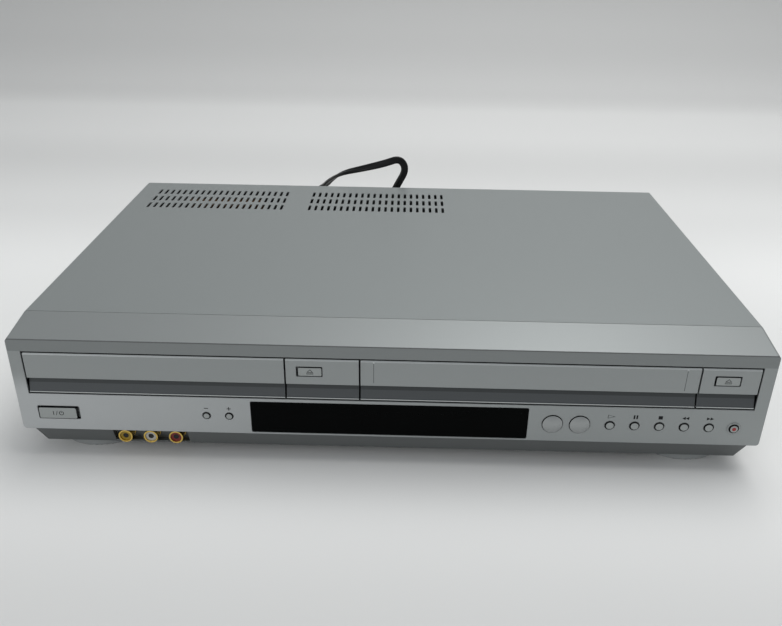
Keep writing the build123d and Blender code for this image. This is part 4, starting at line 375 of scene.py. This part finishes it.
# Painted shade on the domes' rims.
dome_metal_and_shade = surface("dome_metal_and_shade", (158, 161, 161), 0.26, metallic=0.6, grain=0.02, rim=(0.93, SHADE))
foot_plastic = surface("foot_plastic", (148, 151, 151), 0.5, grain=0.05, edge=0.4 * MM)
window_black = surface("window_black", (3, 4, 4), 0.2, grain=0.02, specular=0.035)
zinc = surface("zinc", (128, 130, 128), 0.4, metallic=0.8, grain=0.16, grain_scale=140)
rear_sheet = surface("rear_sheet", (120, 123, 123), 0.45, metallic=0.5, grain=0.06)
dark_plastic = surface("dark_plastic", (34, 35, 38), 0.5, grain=0.06, edge=0.3 * MM)
tray_plastic = surface("tray_plastic", (44, 46, 50), 0.42, grain=0.05, edge=0.4 * MM)
white_plastic = surface("white_plastic", (222, 222, 216), 0.42, grain=0.03, edge=0.3 * MM)
board_green = surface("board_green", (40, 84, 54), 0.5, grain=0.12, grain_scale=300)
board_tan = surface("board_tan", (168, 136, 84), 0.6, grain=0.12, grain_scale=300)
core_brown = surface("core_brown", (126, 92, 58), 0.6, grain=0.14, grain_scale=260)
bright_steel = surface("bright_steel", (202, 204, 204), 0.2, metallic=1.0, grain=0.03)
drum_metal = surface("drum_metal", (205, 206, 206), 0.16, metallic=1.0, grain=0.03)
gold_plate = surface("gold_plate", (226, 192, 104), 0.2, metallic=1.0, edge=0.2 * MM)
jack_yellow = surface("jack_yellow", (150, 122, 22), 0.35, grain=0.03)
jack_white = surface("jack_white", (176, 175, 170), 0.35, grain=0.03)
jack_red = surface("jack_red", (112, 22, 20), 0.35, grain=0.03)
# Painted shade for the ends of the socket bores.
bore_shade = surface("bore_shade", (14, 14, 15), 0.6, grain=0.02)
rubber_black = surface("rubber_black", (24, 24, 25), 0.6, grain=0.08)
cord_black = surface("cord_black", (6, 6, 7), 0.32, grain=0.05, bumps=0.1, specular=0.3)
tube_glass = surface("tube_glass", (38, 52, 54), 0.12, grain=0.03, coat=0.4)
print_grey = surface("print_grey", (22, 23, 25), 0.6, grain=0.02, specular=0.2)
print_red = surface("print_red", (150, 34, 34), 0.45, grain=0.02)
# Painted shade for the engraved rules on the cassette flap.
groove_shade = surface("groove_shade", (74, 77, 78), 0.5, grain=0.02)
line_head_light = surface("line_head_light", (196, 199, 199), 0.4, grain=0.02)

# Each finish and the nodes that have it; every other node is a button.
NODES_OF = (
    (cover_paint, ("top_cover",)),
    (bezel_paint_and_painted_light, ("front_bezel",)),
    (panel_paint_and_painted_light, ("tray_front", "cassette_door", "disc_eject_panel", "tape_eject_panel")),
    (dome_metal_and_shade, ("disc_select_button", "tape_select_button")),
    (foot_plastic, ("feet",)),
    (window_black, ("display_window",)),
    (tube_glass, ("display_tube",)),
    (zinc, ("bottom_chassis", "deck_frame", "clamp_bridge", "carriage_slider", "cassette_holder")),
    (rear_sheet, ("rear_panel",)),
    (board_green, ("front_board", "main_board")),
    (board_tan, ("power_board",)),
    (core_brown, ("power_transformer",)),
    (gold_plate, ("front_jack_shells",)),
    (jack_yellow, ("video_jack_insert",)),
    (jack_white, ("left_sound_jack_insert",)),
    (jack_red, ("right_sound_jack_insert",)),
    (bright_steel, ("rear_sockets", "cover_screws", "tray_motor", "sled_rods", "spindle_motor", "capstan")),
    (drum_metal, ("lower_drum", "upper_drum")),
    (dark_plastic, ("loader_frame", "clamp_puck", "traverse_frame", "pickup_sled", "turntable")),
    (tray_plastic, ("disc_tray",)),
    (white_plastic, ("tray_pinion", "motor_pulley", "supply_reel", "takeup_reel")),
    (rubber_black, ("tray_belt", "pinch_roller")),
    (cord_black, ("cord_strain_relief", "power_plug")),
)
finish_of = {node_name: finish for finish, node_names in NODES_OF for node_name in node_names}
for node_name, node in nodes.items():
    node.data.materials.clear()
    node.data.materials.append(finish_of.get(node_name, button_paint_and_shade))

# ---------------------------------------------------------------- mains lead
CORD_WIDTH = 6.2
CORD_THICKNESS = 3.2
CORD_START = (-140.0, 158.2, 30.0)
BEHIND = 134.3
CORD_ROUTE = [
    (-140.0, 46.0, 30.0), (-135.0, 68.0, 32.5), (-122.0, 85.0, 38.0), (-103.0, 91.5, 44.0),
    (-83.0, 86.0, 52.0), (-70.0, 68.0, 62.0), (-62.0, 46.5, 75.0), (-50.0, 27.0, 87.5),
    (-32.0, 18.5, 94.0), (-12.0, 18.5, 99.0), (1.0, 20.5, 103.5), (7.0, 19.5, 94.0),
    (-0.5, 17.0, 81.0), (-8.0, 15.5, 66.0), (-18.0, 15.5, 50.0), (-27.0, 18.0, 35.0),
    (-34.0, 25.5, 21.0), (-38.5, 39.0, 10.5), (-39.8, 54.0, 4.6),
]
COIL_X = -84.0
COIL_Y = 212.3
COIL_RADIUS = 34.0
COIL_STEP = 6.8
COIL_TURNS_EACH_WAY = 3
COIL_TURNS = 6.25
COIL_TAIL = 26.0
TAIL_SHARES = (0.35, 0.7, 1.0)
STRAIGHT_END = 6.2
FLOOR_Z = 3.2
POINTS_PER_TURN = 16
CURVE_STEPS = 6
SAME_POINT = 0.0001 * MM


def coil_points(turns):
    """Points of the coil for an array of turn counts t: radius = middle + step * (|t - 3| - 1.5),
    angle = 2 pi t, height = floor + step * s * s * (3 - 2 s), s the share of the half turn about t = 3."""
    radius = COIL_RADIUS + COIL_STEP * (np.abs(turns - COIL_TURNS_EACH_WAY) - COIL_TURNS_EACH_WAY / 2)
    share = np.clip((turns - (COIL_TURNS_EACH_WAY - 0.25)) / 0.5, 0, 1)
    height = FLOOR_Z + COIL_STEP * share * share * (3 - 2 * share)
    angle = 2 * np.pi * turns
    return np.stack([COIL_X + radius * np.cos(angle), COIL_Y + radius * np.sin(angle), height], axis=1)


def lead_points():
    """The control points of the whole lead in mm: the route, then the coil, then its straight tail. The
    coil's control circle is wider by 1 / (3/4 + cos(2 pi / n) / 4), so that the curve keeps its radius."""
    free = np.array([CORD_START] + [(x, BEHIND + y, z) for x, y, z in CORD_ROUTE])
    coil_in = coil_points(np.array([0.0]))[0]
    entry = np.array([coil_in - (0, 2 * STRAIGHT_END, 0), coil_in - (0, STRAIGHT_END, 0)])
    step = 1.0 / POINTS_PER_TURN
    turns = np.arange(0.5 * step, COIL_TURNS, step)
    ring = coil_points(turns)
    wider = 1 / (0.75 + 0.25 * math.cos(2 * math.pi * step))
    centre = np.array([COIL_X, COIL_Y])
    ring[:, :2] = centre + (ring[:, :2] - centre) * wider
    coil_out = coil_points(np.array([COIL_TURNS]))[0]
    tail = np.array([coil_out - (COIL_TAIL * share, 0, 0) for share in TAIL_SHARES])
    return np.concatenate([free, entry, ring, tail])


def curve_through(control):
    """The middle line of the lead: points of the quadratic curve that the control points steer."""
    curve_data = bpy.data.curves.new("lead_line", "CURVE")
    curve_data.dimensions = "3D"
    spline = curve_data.splines.new("NURBS")
    spline.points.add(len(control) - 1)
    weighted = np.concatenate([control, np.ones((len(control), 1))], axis=1)
    spline.points.foreach_set("co", weighted.ravel())
    spline.order_u = 3
    spline.use_endpoint_u = True
    spline.resolution_u = CURVE_STEPS
    curve_object = bpy.data.objects.new("lead_line", curve_data)
    bpy.context.scene.collection.objects.link(curve_object)
    line_mesh = bpy.data.meshes.new_from_object(curve_object)
    points = np.empty(len(line_mesh.vertices) * 3)
    line_mesh.vertices.foreach_get("co", points)
    points = points.reshape(-1, 3)
    bpy.data.objects.remove(curve_object)
    bpy.data.meshes.remove(line_mesh)
    moves_on = np.linalg.norm(np.diff(points, axis=0), axis=1) > SAME_POINT
    return points[np.concatenate([[True], moves_on])]


def distance_along(points):
    """The distance of each point from the first one, along the points."""
    return np.concatenate([[0], np.cumsum(np.linalg.norm(np.diff(points, axis=0), axis=1))])


# The thin direction of the flat lead at some of its places, blended along the length: on edge to the
# viewer in the rising strand, face on at the fold and down the other strand, then flat in the coil.
THIN_WAY = [
    (0, (1.0, 0.0, 0.2)), (4, (0.3, -0.4, 0.9)), (6, (0.25, -0.2, 0.95)), (7, (0.1, -0.2, 0.97)),
    (8, (-0.25, -0.25, 0.9)), (9, (-0.2, -0.55, 0.8)), (10, (-0.1, -0.9, 0.45)), (11, (0.0, -1.0, 0.15)),
    (12, (0.2, -0.97, 0.1)), (13, (0.1, -0.98, 0.1)), (15, (0.2, -0.95, 0.2)), (17, (0.1, -0.7, 0.7)),
    (19, (0.0, -0.2, 1.0)), (21, (0.0, 0.0, 1.0)), (200, (0.0, 0.0, 1.0)),
]
CORNERS_AROUND = 28
SIDE_ROUNDNESS = 0.8
FACE_ROUNDNESS = 0.7
GROOVE_DEPTH = 0.28
GROOVE_WIDTH = 0.22


def signed_power(values, power):
    """Each value's size raised to a power, with its sign kept."""
    return np.sign(values) * np.abs(values) ** power


def flat_tube(line, width, thickness, lengthwise):
    """A flat two-core lead swept along a line, a round-edged strip with a groove along each face. Its
    section over the angle a is width / 2 * (cos a)^0.8 across and thickness / 2 * (sin a)^0.7 *
    (1 - 0.28 * exp(-(cos a / 0.22)^2)) through, with powers that keep the sign. The wide way is the
    cross product of the tangent and the thin way."""
    tangent = np.gradient(line, axis=0)
    tangent /= np.linalg.norm(tangent, axis=1, keepdims=True)
    stations = np.array([place for place, way in THIN_WAY], float)
    ways = np.array([way for place, way in THIN_WAY], float)
    thin = np.stack([np.interp(lengthwise, stations, ways[:, axis]) for axis in range(3)], axis=1)
    thin -= tangent * np.sum(thin * tangent, axis=1, keepdims=True)
    thin /= np.linalg.norm(thin, axis=1, keepdims=True)
    wide = np.cross(tangent, thin)
    around = np.linspace(0, 2 * np.pi, CORNERS_AROUND, endpoint=False)
    across = signed_power(np.cos(around), SIDE_ROUNDNESS) * width / 2
    groove = 1 - GROOVE_DEPTH * np.exp(-(np.cos(around) / GROOVE_WIDTH) ** 2)
    through = signed_power(np.sin(around), FACE_ROUNDNESS) * groove * thickness / 2
    points = (line[:, None, :] + wide[:, None, :] * across[None, :, None]
              + thin[:, None, :] * through[None, :, None]).reshape(-1, 3)
    faces = [list(face) for face in grid_faces(len(line), len(around))]
    faces.append(list(range(len(around)))[::-1])
    faces.append([(len(line) - 1) * len(around) + place for place in range(len(around))])
    return points, faces


def control_place(line, control):
    """For each point of the line, its place among the control points, by distance along both."""
    control_length = distance_along(control)
    line_length = distance_along(line)
    share = line_length * control_length[-1] / line_length[-1]
    return np.interp(share, control_length, np.arange(len(control)))


lead_control = lead_points() * MM
lead_line = curve_through(lead_control)
lead_mesh_points, lead_mesh_faces = flat_tube(lead_line, CORD_WIDTH * MM, CORD_THICKNESS * MM,
                                              control_place(lead_line, lead_control))
mains_lead = mesh_object("mains_lead", lead_mesh_points, lead_mesh_faces, cord_black, smooth=True)
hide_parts("power_cord", "cord_coil")
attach(mains_lead, "cabinet")

# ---------------------------------------------------------------- printed and moulded signs
PLATE_THICKNESS = 0.03

# How far the thin plates stand behind the front, in mm: each lies just before the face that carries it,
# and a face that stands proud of the front has a negative one.
LOWER_FACE = -0.02
POWER_FACE = -0.42
RECORD_FACE = -1.12
EJECT_FACE = 0.48
DOOR_FACE = 0.18
BORE_DEPTH = 2.35


def middle(node_name):
    """The middle (x, z) in mm of a node seen from the front."""
    low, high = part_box(node_name)
    return (low.x + high.x) / 2 / MM, (low.z + high.z) / 2 / MM


def bar(x, z, width, height):
    """A rectangle about its middle."""
    return [(x - width / 2, z - height / 2), (x + width / 2, z - height / 2),
            (x + width / 2, z + height / 2), (x - width / 2, z + height / 2)]


def disc(x, z, radius, corners=28):
    """A circle of even corners about its middle."""
    return [(x + radius * math.cos(a), z + radius * math.sin(a))
            for a in np.linspace(0, 2 * math.pi, corners, endpoint=False)]


def triangle(x, z, width, height, way=1):
    """A triangle that points right, or left where way is -1."""
    return [(x - way * width / 2, z - height / 2), (x + way * width / 2, z),
            (x - way * width / 2, z + height / 2)][::way]


def arc_strip(x, z, radius, width, start, end, steps=20):
    """A bent bar: points at radius +- width / 2 over the angles from start to end, in degrees."""
    angles = np.radians(np.linspace(start, end, steps))
    around = np.stack([np.cos(angles), np.sin(angles)], axis=1)
    outer = (x, z) + (radius + width / 2) * around
    inner = (x, z) + (radius - width / 2) * around
    return [[inner[place], outer[place], outer[place + 1], inner[place + 1]] for place in range(steps - 1)]


def outline_triangle(x, z, width, height, line):
    """A play sign drawn as an outline: three bars along the sides of a triangle."""
    left, tip = x - width / 2, x + width / 2
    low, high = z - height / 2, z + height / 2
    inner_left, inner_tip = left + line, tip - 2.2 * line
    inner_low, inner_high = low + 0.8 * line, high - 0.8 * line
    return [[(left, low), (inner_left, inner_low), (inner_left, inner_high), (left, high)],
            [(left, low), (tip, z), (inner_tip, z), (inner_left, inner_low)],
            [(left, high), (inner_left, inner_high), (inner_tip, z), (tip, z)]]


def pair(shape, x, z, apart, *size):
    """Two equal shapes side by side, with their middles apart about x."""
    return [shape(x - apart / 2, z, *size), shape(x + apart / 2, z, *size)]


def plate(name, outlines, depth, material, body):
    """Flat signs seen from the front: each outline, (x, z) in mm, is a thin prism behind a depth."""
    points = []
    faces = []
    for outline in outlines:
        base = len(points)
        count = len(outline)
        points += [(x * MM, FRONT + depth * MM, z * MM) for x, z in outline]
        points += [(x * MM, FRONT + (depth + PLATE_THICKNESS) * MM, z * MM) for x, z in outline]
        faces.append([base + place for place in range(count)])
        faces.append([base + count + place for place in range(count)][::-1])
        faces += [[base + place, base + count + place, base + count + (place + 1) % count,
                   base + (place + 1) % count] for place in range(count)]
    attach(mesh_object(name, points, faces, material), body)


SIGN_ABOVE_KEY = 6.0
STEP_SIGN_ABOVE_KEY = 5.0
PLAY_SIGN_SIZE = (4.2, 2.4)
PLAY_SIGN_SHIFT = 0.4
PLAY_SIGN_LINE = 0.3
PAUSE_BAR_SIZE = (0.95, 2.6)
PAUSE_BARS_APART = 1.6
STOP_SIGN_SIZE = (2.4, 2.3)
WIND_ARROW_SIZE = (2.0, 2.1)
WIND_ARROWS_APART = 2.0
WIND_SIGN_SHIFT = 0.05
STEP_SIGN_WIDTH = 2.4
STEP_SIGN_LINE = 0.45
PLUS_ARM = 0.95
PLUS_ARMS_APART = 0.7

play_x, key_z = middle("play_button")
pause_x, _ = middle("pause_button")
stop_x, _ = middle("stop_button")
rewind_x, _ = middle("rewind_button")
forward_x, _ = middle("forward_button")
minus_x, _ = middle("channel_down_button")
plus_x, _ = middle("channel_up_button")
sign_z = key_z + SIGN_ABOVE_KEY
step_z = key_z + STEP_SIGN_ABOVE_KEY
front_signs = outline_triangle(play_x + PLAY_SIGN_SHIFT, sign_z, *PLAY_SIGN_SIZE, PLAY_SIGN_LINE)
front_signs += pair(bar, pause_x, sign_z, PAUSE_BARS_APART, *PAUSE_BAR_SIZE)
front_signs += [bar(stop_x, sign_z, *STOP_SIGN_SIZE)]
front_signs += pair(triangle, rewind_x + WIND_SIGN_SHIFT, sign_z, WIND_ARROWS_APART, *WIND_ARROW_SIZE, -1)
front_signs += pair(triangle, forward_x - WIND_SIGN_SHIFT, sign_z, WIND_ARROWS_APART, *WIND_ARROW_SIZE)
front_signs += [bar(x, step_z, STEP_SIGN_WIDTH, STEP_SIGN_LINE) for x in (minus_x, plus_x)]
front_signs += [bar(plus_x, step_z + way * PLUS_ARMS_APART, STEP_SIGN_LINE, PLUS_ARM) for way in (1, -1)]
plate("front_signs", front_signs, LOWER_FACE, print_grey, "cabinet")

# The power sign: an upright bar, a slanted stroke, and an open ring with a short bar in its gap.
POWER_SIGN_X = -192.9
POWER_SIGN_Z = 30.9
POWER_LINE = 0.4
POWER_BAR_LEFT = 2.6
POWER_BAR_HEIGHT = 2.6
STROKE_LEFT = 1.3
STROKE_LEAN = 0.9
STROKE_LINE = 0.3
STROKE_HALF_HEIGHT = 1.5
POWER_RING_RIGHT = 2.0
POWER_RING_RADIUS = 1.25
RING_START = 120
RING_END = 420
RING_BAR_RISE = 0.9
RING_BAR_HEIGHT = 1.4

stroke_x = POWER_SIGN_X - STROKE_LEFT
stroke_low = POWER_SIGN_Z - STROKE_HALF_HEIGHT
stroke_high = POWER_SIGN_Z + STROKE_HALF_HEIGHT
ring_x = POWER_SIGN_X + POWER_RING_RIGHT
power_signs = [bar(POWER_SIGN_X - POWER_BAR_LEFT, POWER_SIGN_Z, POWER_LINE, POWER_BAR_HEIGHT)]
power_signs += [[(stroke_x, stroke_low), (stroke_x + STROKE_LINE, stroke_low),
                 (stroke_x + STROKE_LINE + STROKE_LEAN, stroke_high), (stroke_x + STROKE_LEAN, stroke_high)]]
power_signs += arc_strip(ring_x, POWER_SIGN_Z, POWER_RING_RADIUS, POWER_LINE, RING_START, RING_END)
power_signs += [bar(ring_x, POWER_SIGN_Z + RING_BAR_RISE, POWER_LINE, RING_BAR_HEIGHT)]
plate("power_sign", power_signs, POWER_FACE, print_grey, "power_key")

# The eject signs: heights are from the sign's middle.
EJECT_SIGN_X = {"disc": -45.05, "tape": 189.7}
EJECT_SIGN_Z = 62.1
EJECT_WIDTH = 3.8
EJECT_INNER_WIDTH = 2.4
ARROW_LOW = -0.35
ARROW_INNER_LOW = -0.05
ARROW_INNER_TOP = 1.2
ARROW_TOP = 1.65
EJECT_BAR_HIGH = -0.85
EJECT_BAR_LOW = -1.45
EJECT_BAR_LINE = 0.22
EJECT_BAR_END_HEIGHT = 0.4


def eject_sign(x, z):
    """An eject sign drawn as an outline: three sides of an arrow head over a hollow bar."""
    half, inner = EJECT_WIDTH / 2, EJECT_INNER_WIDTH / 2
    low, inner_low = z + ARROW_LOW, z + ARROW_INNER_LOW
    top, inner_top = z + ARROW_TOP, z + ARROW_INNER_TOP
    ends_z = z + (EJECT_BAR_LOW + EJECT_BAR_HIGH) / 2
    ends_apart = EJECT_WIDTH - EJECT_BAR_LINE
    arrow = [[(x - half, low), (x - inner, inner_low), (x, inner_top), (x, top)],
             [(x + half, low), (x, top), (x, inner_top), (x + inner, inner_low)],
             [(x - half, low), (x + half, low), (x + inner, inner_low), (x - inner, inner_low)]]
    long_sides = [bar(x, z + EJECT_BAR_HIGH, EJECT_WIDTH, EJECT_BAR_LINE),
                  bar(x, z + EJECT_BAR_LOW, EJECT_WIDTH, EJECT_BAR_LINE)]
    return arrow + long_sides + pair(bar, x, ends_z, ends_apart, EJECT_BAR_LINE, EJECT_BAR_END_HEIGHT)


for side, sign_x in EJECT_SIGN_X.items():
    outlines = eject_sign(sign_x, EJECT_SIGN_Z)
    plate(side + "_eject_sign", outlines, EJECT_FACE, print_grey, side + "_eject_key")

# Painted shade at the ends of the socket bores, the record button's dot, and the two rules on the cassette
# flap, which are drawn in painted shade.
BORE_RADIUS = 1.62
RECORD_DOT_RADIUS = 1.15
DOOR_LINE_WIDTH = 0.3
DOOR_LINES = ((-9.0, 62.5, 13.0), (166.0, 62.3, 13.6))
LINE_HEAD_Z = 69.0
LINE_HEAD_RADIUS = 0.55

jack_inserts = ("video_jack_insert", "left_sound_jack_insert", "right_sound_jack_insert")
bores = [disc(*middle(insert), BORE_RADIUS) for insert in jack_inserts]
plate("jack_bores", bores, BORE_DEPTH, bore_shade, "cabinet")
record_dot = disc(*middle("record_button"), RECORD_DOT_RADIUS)
plate("record_dot", [record_dot], RECORD_FACE, print_red, "record_key")
# The rules are engraved grooves, drawn as darker lines of painted shade.
door_lines = [bar(x, z, DOOR_LINE_WIDTH, height) for x, z, height in DOOR_LINES]
plate("door_lines", door_lines, DOOR_FACE, groove_shade, "door")
line_heads = [disc(x, LINE_HEAD_Z, LINE_HEAD_RADIUS, corners=12) for x, _, _ in DOOR_LINES]
plate("door_line_heads", line_heads, DOOR_FACE, line_head_light, "door")

# ---------------------------------------------------------------- floor and backdrop
FLOOR_HALF_WIDTH = 3.0
FLOOR_NEAR = -2.5
SWEEP_START = 0.83
SWEEP_RADIUS = 0.35
SWEEP_HEIGHT = 2.5
SWEEP_STEPS = 24

# Painted light and shade on the paper: its tone at some depths, near, beside and behind the object, then up
# the curve to the wall.
PAPER_LIGHT_TONES = [
    (-0.60, 0.66), (-0.28, 0.69), (-0.16, 0.82), (0.00, 0.86), (0.14, 0.89), (0.32, 0.78),
    (0.50, 0.70), (0.66, 0.76), (0.80, 0.76), (0.92, 0.63), (1.06, 0.55), (1.175, 0.49),
]
PAPER_BLUE_SHARE = 0.99


def sweep_grid():
    """Floor and backdrop in one sheet: flat to the start of the curve, a quarter circle, then upright."""
    angles = np.linspace(0, math.pi / 2, SWEEP_STEPS)
    curve_y = SWEEP_START + SWEEP_RADIUS * np.sin(angles)
    curve_z = SWEEP_RADIUS * (1 - np.cos(angles))
    profile_y = np.concatenate([[FLOOR_NEAR], curve_y, [SWEEP_START + SWEEP_RADIUS]])
    profile_z = np.concatenate([[0.0], curve_z, [SWEEP_HEIGHT]])
    across = np.array([-FLOOR_HALF_WIDTH, FLOOR_HALF_WIDTH])
    count = len(profile_y)
    points = np.stack([np.tile(across, count), np.repeat(profile_y, 2), np.repeat(profile_z, 2)], axis=1)
    return points, grid_faces(count, 2, closed=False)


def paper_material():
    """White paper whose tone is a ramp over its depth in object space, as in the photograph's soft light."""
    material = surface("paper", (255, 255, 255), 0.75, grain=0.015, grain_scale=60, specular=0.2)
    tree = material.node_tree
    nearest, farthest = PAPER_LIGHT_TONES[0][0], PAPER_LIGHT_TONES[-1][0]
    share = tree.nodes.new("ShaderNodeMapRange")
    share.inputs["From Min"].default_value = nearest
    share.inputs["From Max"].default_value = farthest
    tree.links.new(object_space(tree)["Y"], share.inputs["Value"])
    ramp = tree.nodes.new("ShaderNodeValToRGB")
    ramp.color_ramp.interpolation = "EASE"
    stops = ramp.color_ramp.elements
    while len(stops) < len(PAPER_LIGHT_TONES):
        stops.new(0.5)
    for stop, (depth, tone) in zip(stops, PAPER_LIGHT_TONES):
        stop.position = (depth - nearest) / (farthest - nearest)
        stop.color = (tone, tone, tone * PAPER_BLUE_SHARE, 1.0)
    tree.links.new(share.outputs["Result"], ramp.inputs["Fac"])
    tree.links.new(ramp.outputs["Color"], tree.nodes["Principled BSDF"].inputs["Base Color"])
    return material


sweep_points, sweep_faces = sweep_grid()
backdrop = mesh_object("backdrop", sweep_points, sweep_faces, paper_material(), smooth=True)
backdrop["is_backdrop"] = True


# ---------------------------------------------------------------- light
def area_light(name, place, target, size, power, colour=(1.0, 1.0, 1.0)):
    """A rectangular light at a place, turned towards a target, with its power in watts."""
    data = bpy.data.lights.new(name, "AREA")
    data.shape = "RECTANGLE"
    data.size, data.size_y = size
    data.energy = power
    data.color = colour
    light = bpy.data.objects.new(name, data)
    light.location = place
    light.rotation_euler = (Vector(target) - Vector(place)).to_track_quat("-Z", "Y").to_euler()
    bpy.context.scene.collection.objects.link(light)


SKY_COLOUR = (0.93, 0.97, 1.0, 1.0)
SKY_STRENGTH = 0.42

area_light("overhead", place=(0.45, 0.30, 1.6), target=(0.05, 0.05, 0.0), size=(1.6, 1.2), power=18.0,
           colour=(1.0, 1.0, 0.995))
area_light("from_front", place=(-1.1, -1.6, 0.9), target=(-0.1, -0.1, 0.05), size=(1.2, 0.9), power=7.0)
world = bpy.data.worlds.new("world")
world.use_nodes = True
sky = world.node_tree.nodes["Background"]
sky.inputs["Color"].default_value = SKY_COLOUR
sky.inputs["Strength"].default_value = SKY_STRENGTH
bpy.context.scene.world = world
bpy.context.scene.view_settings.view_transform = "Standard"


def plain(value):
    """Bounds as plain numbers in plain lists."""
    if isinstance(value, dict):
        return {key: plain(item) for key, item in value.items()}
    if hasattr(value, "__len__"):
        return [plain(item) for item in value]
    return float(value)


{"cad": plain(cad_bounds), "visual": plain(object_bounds())}
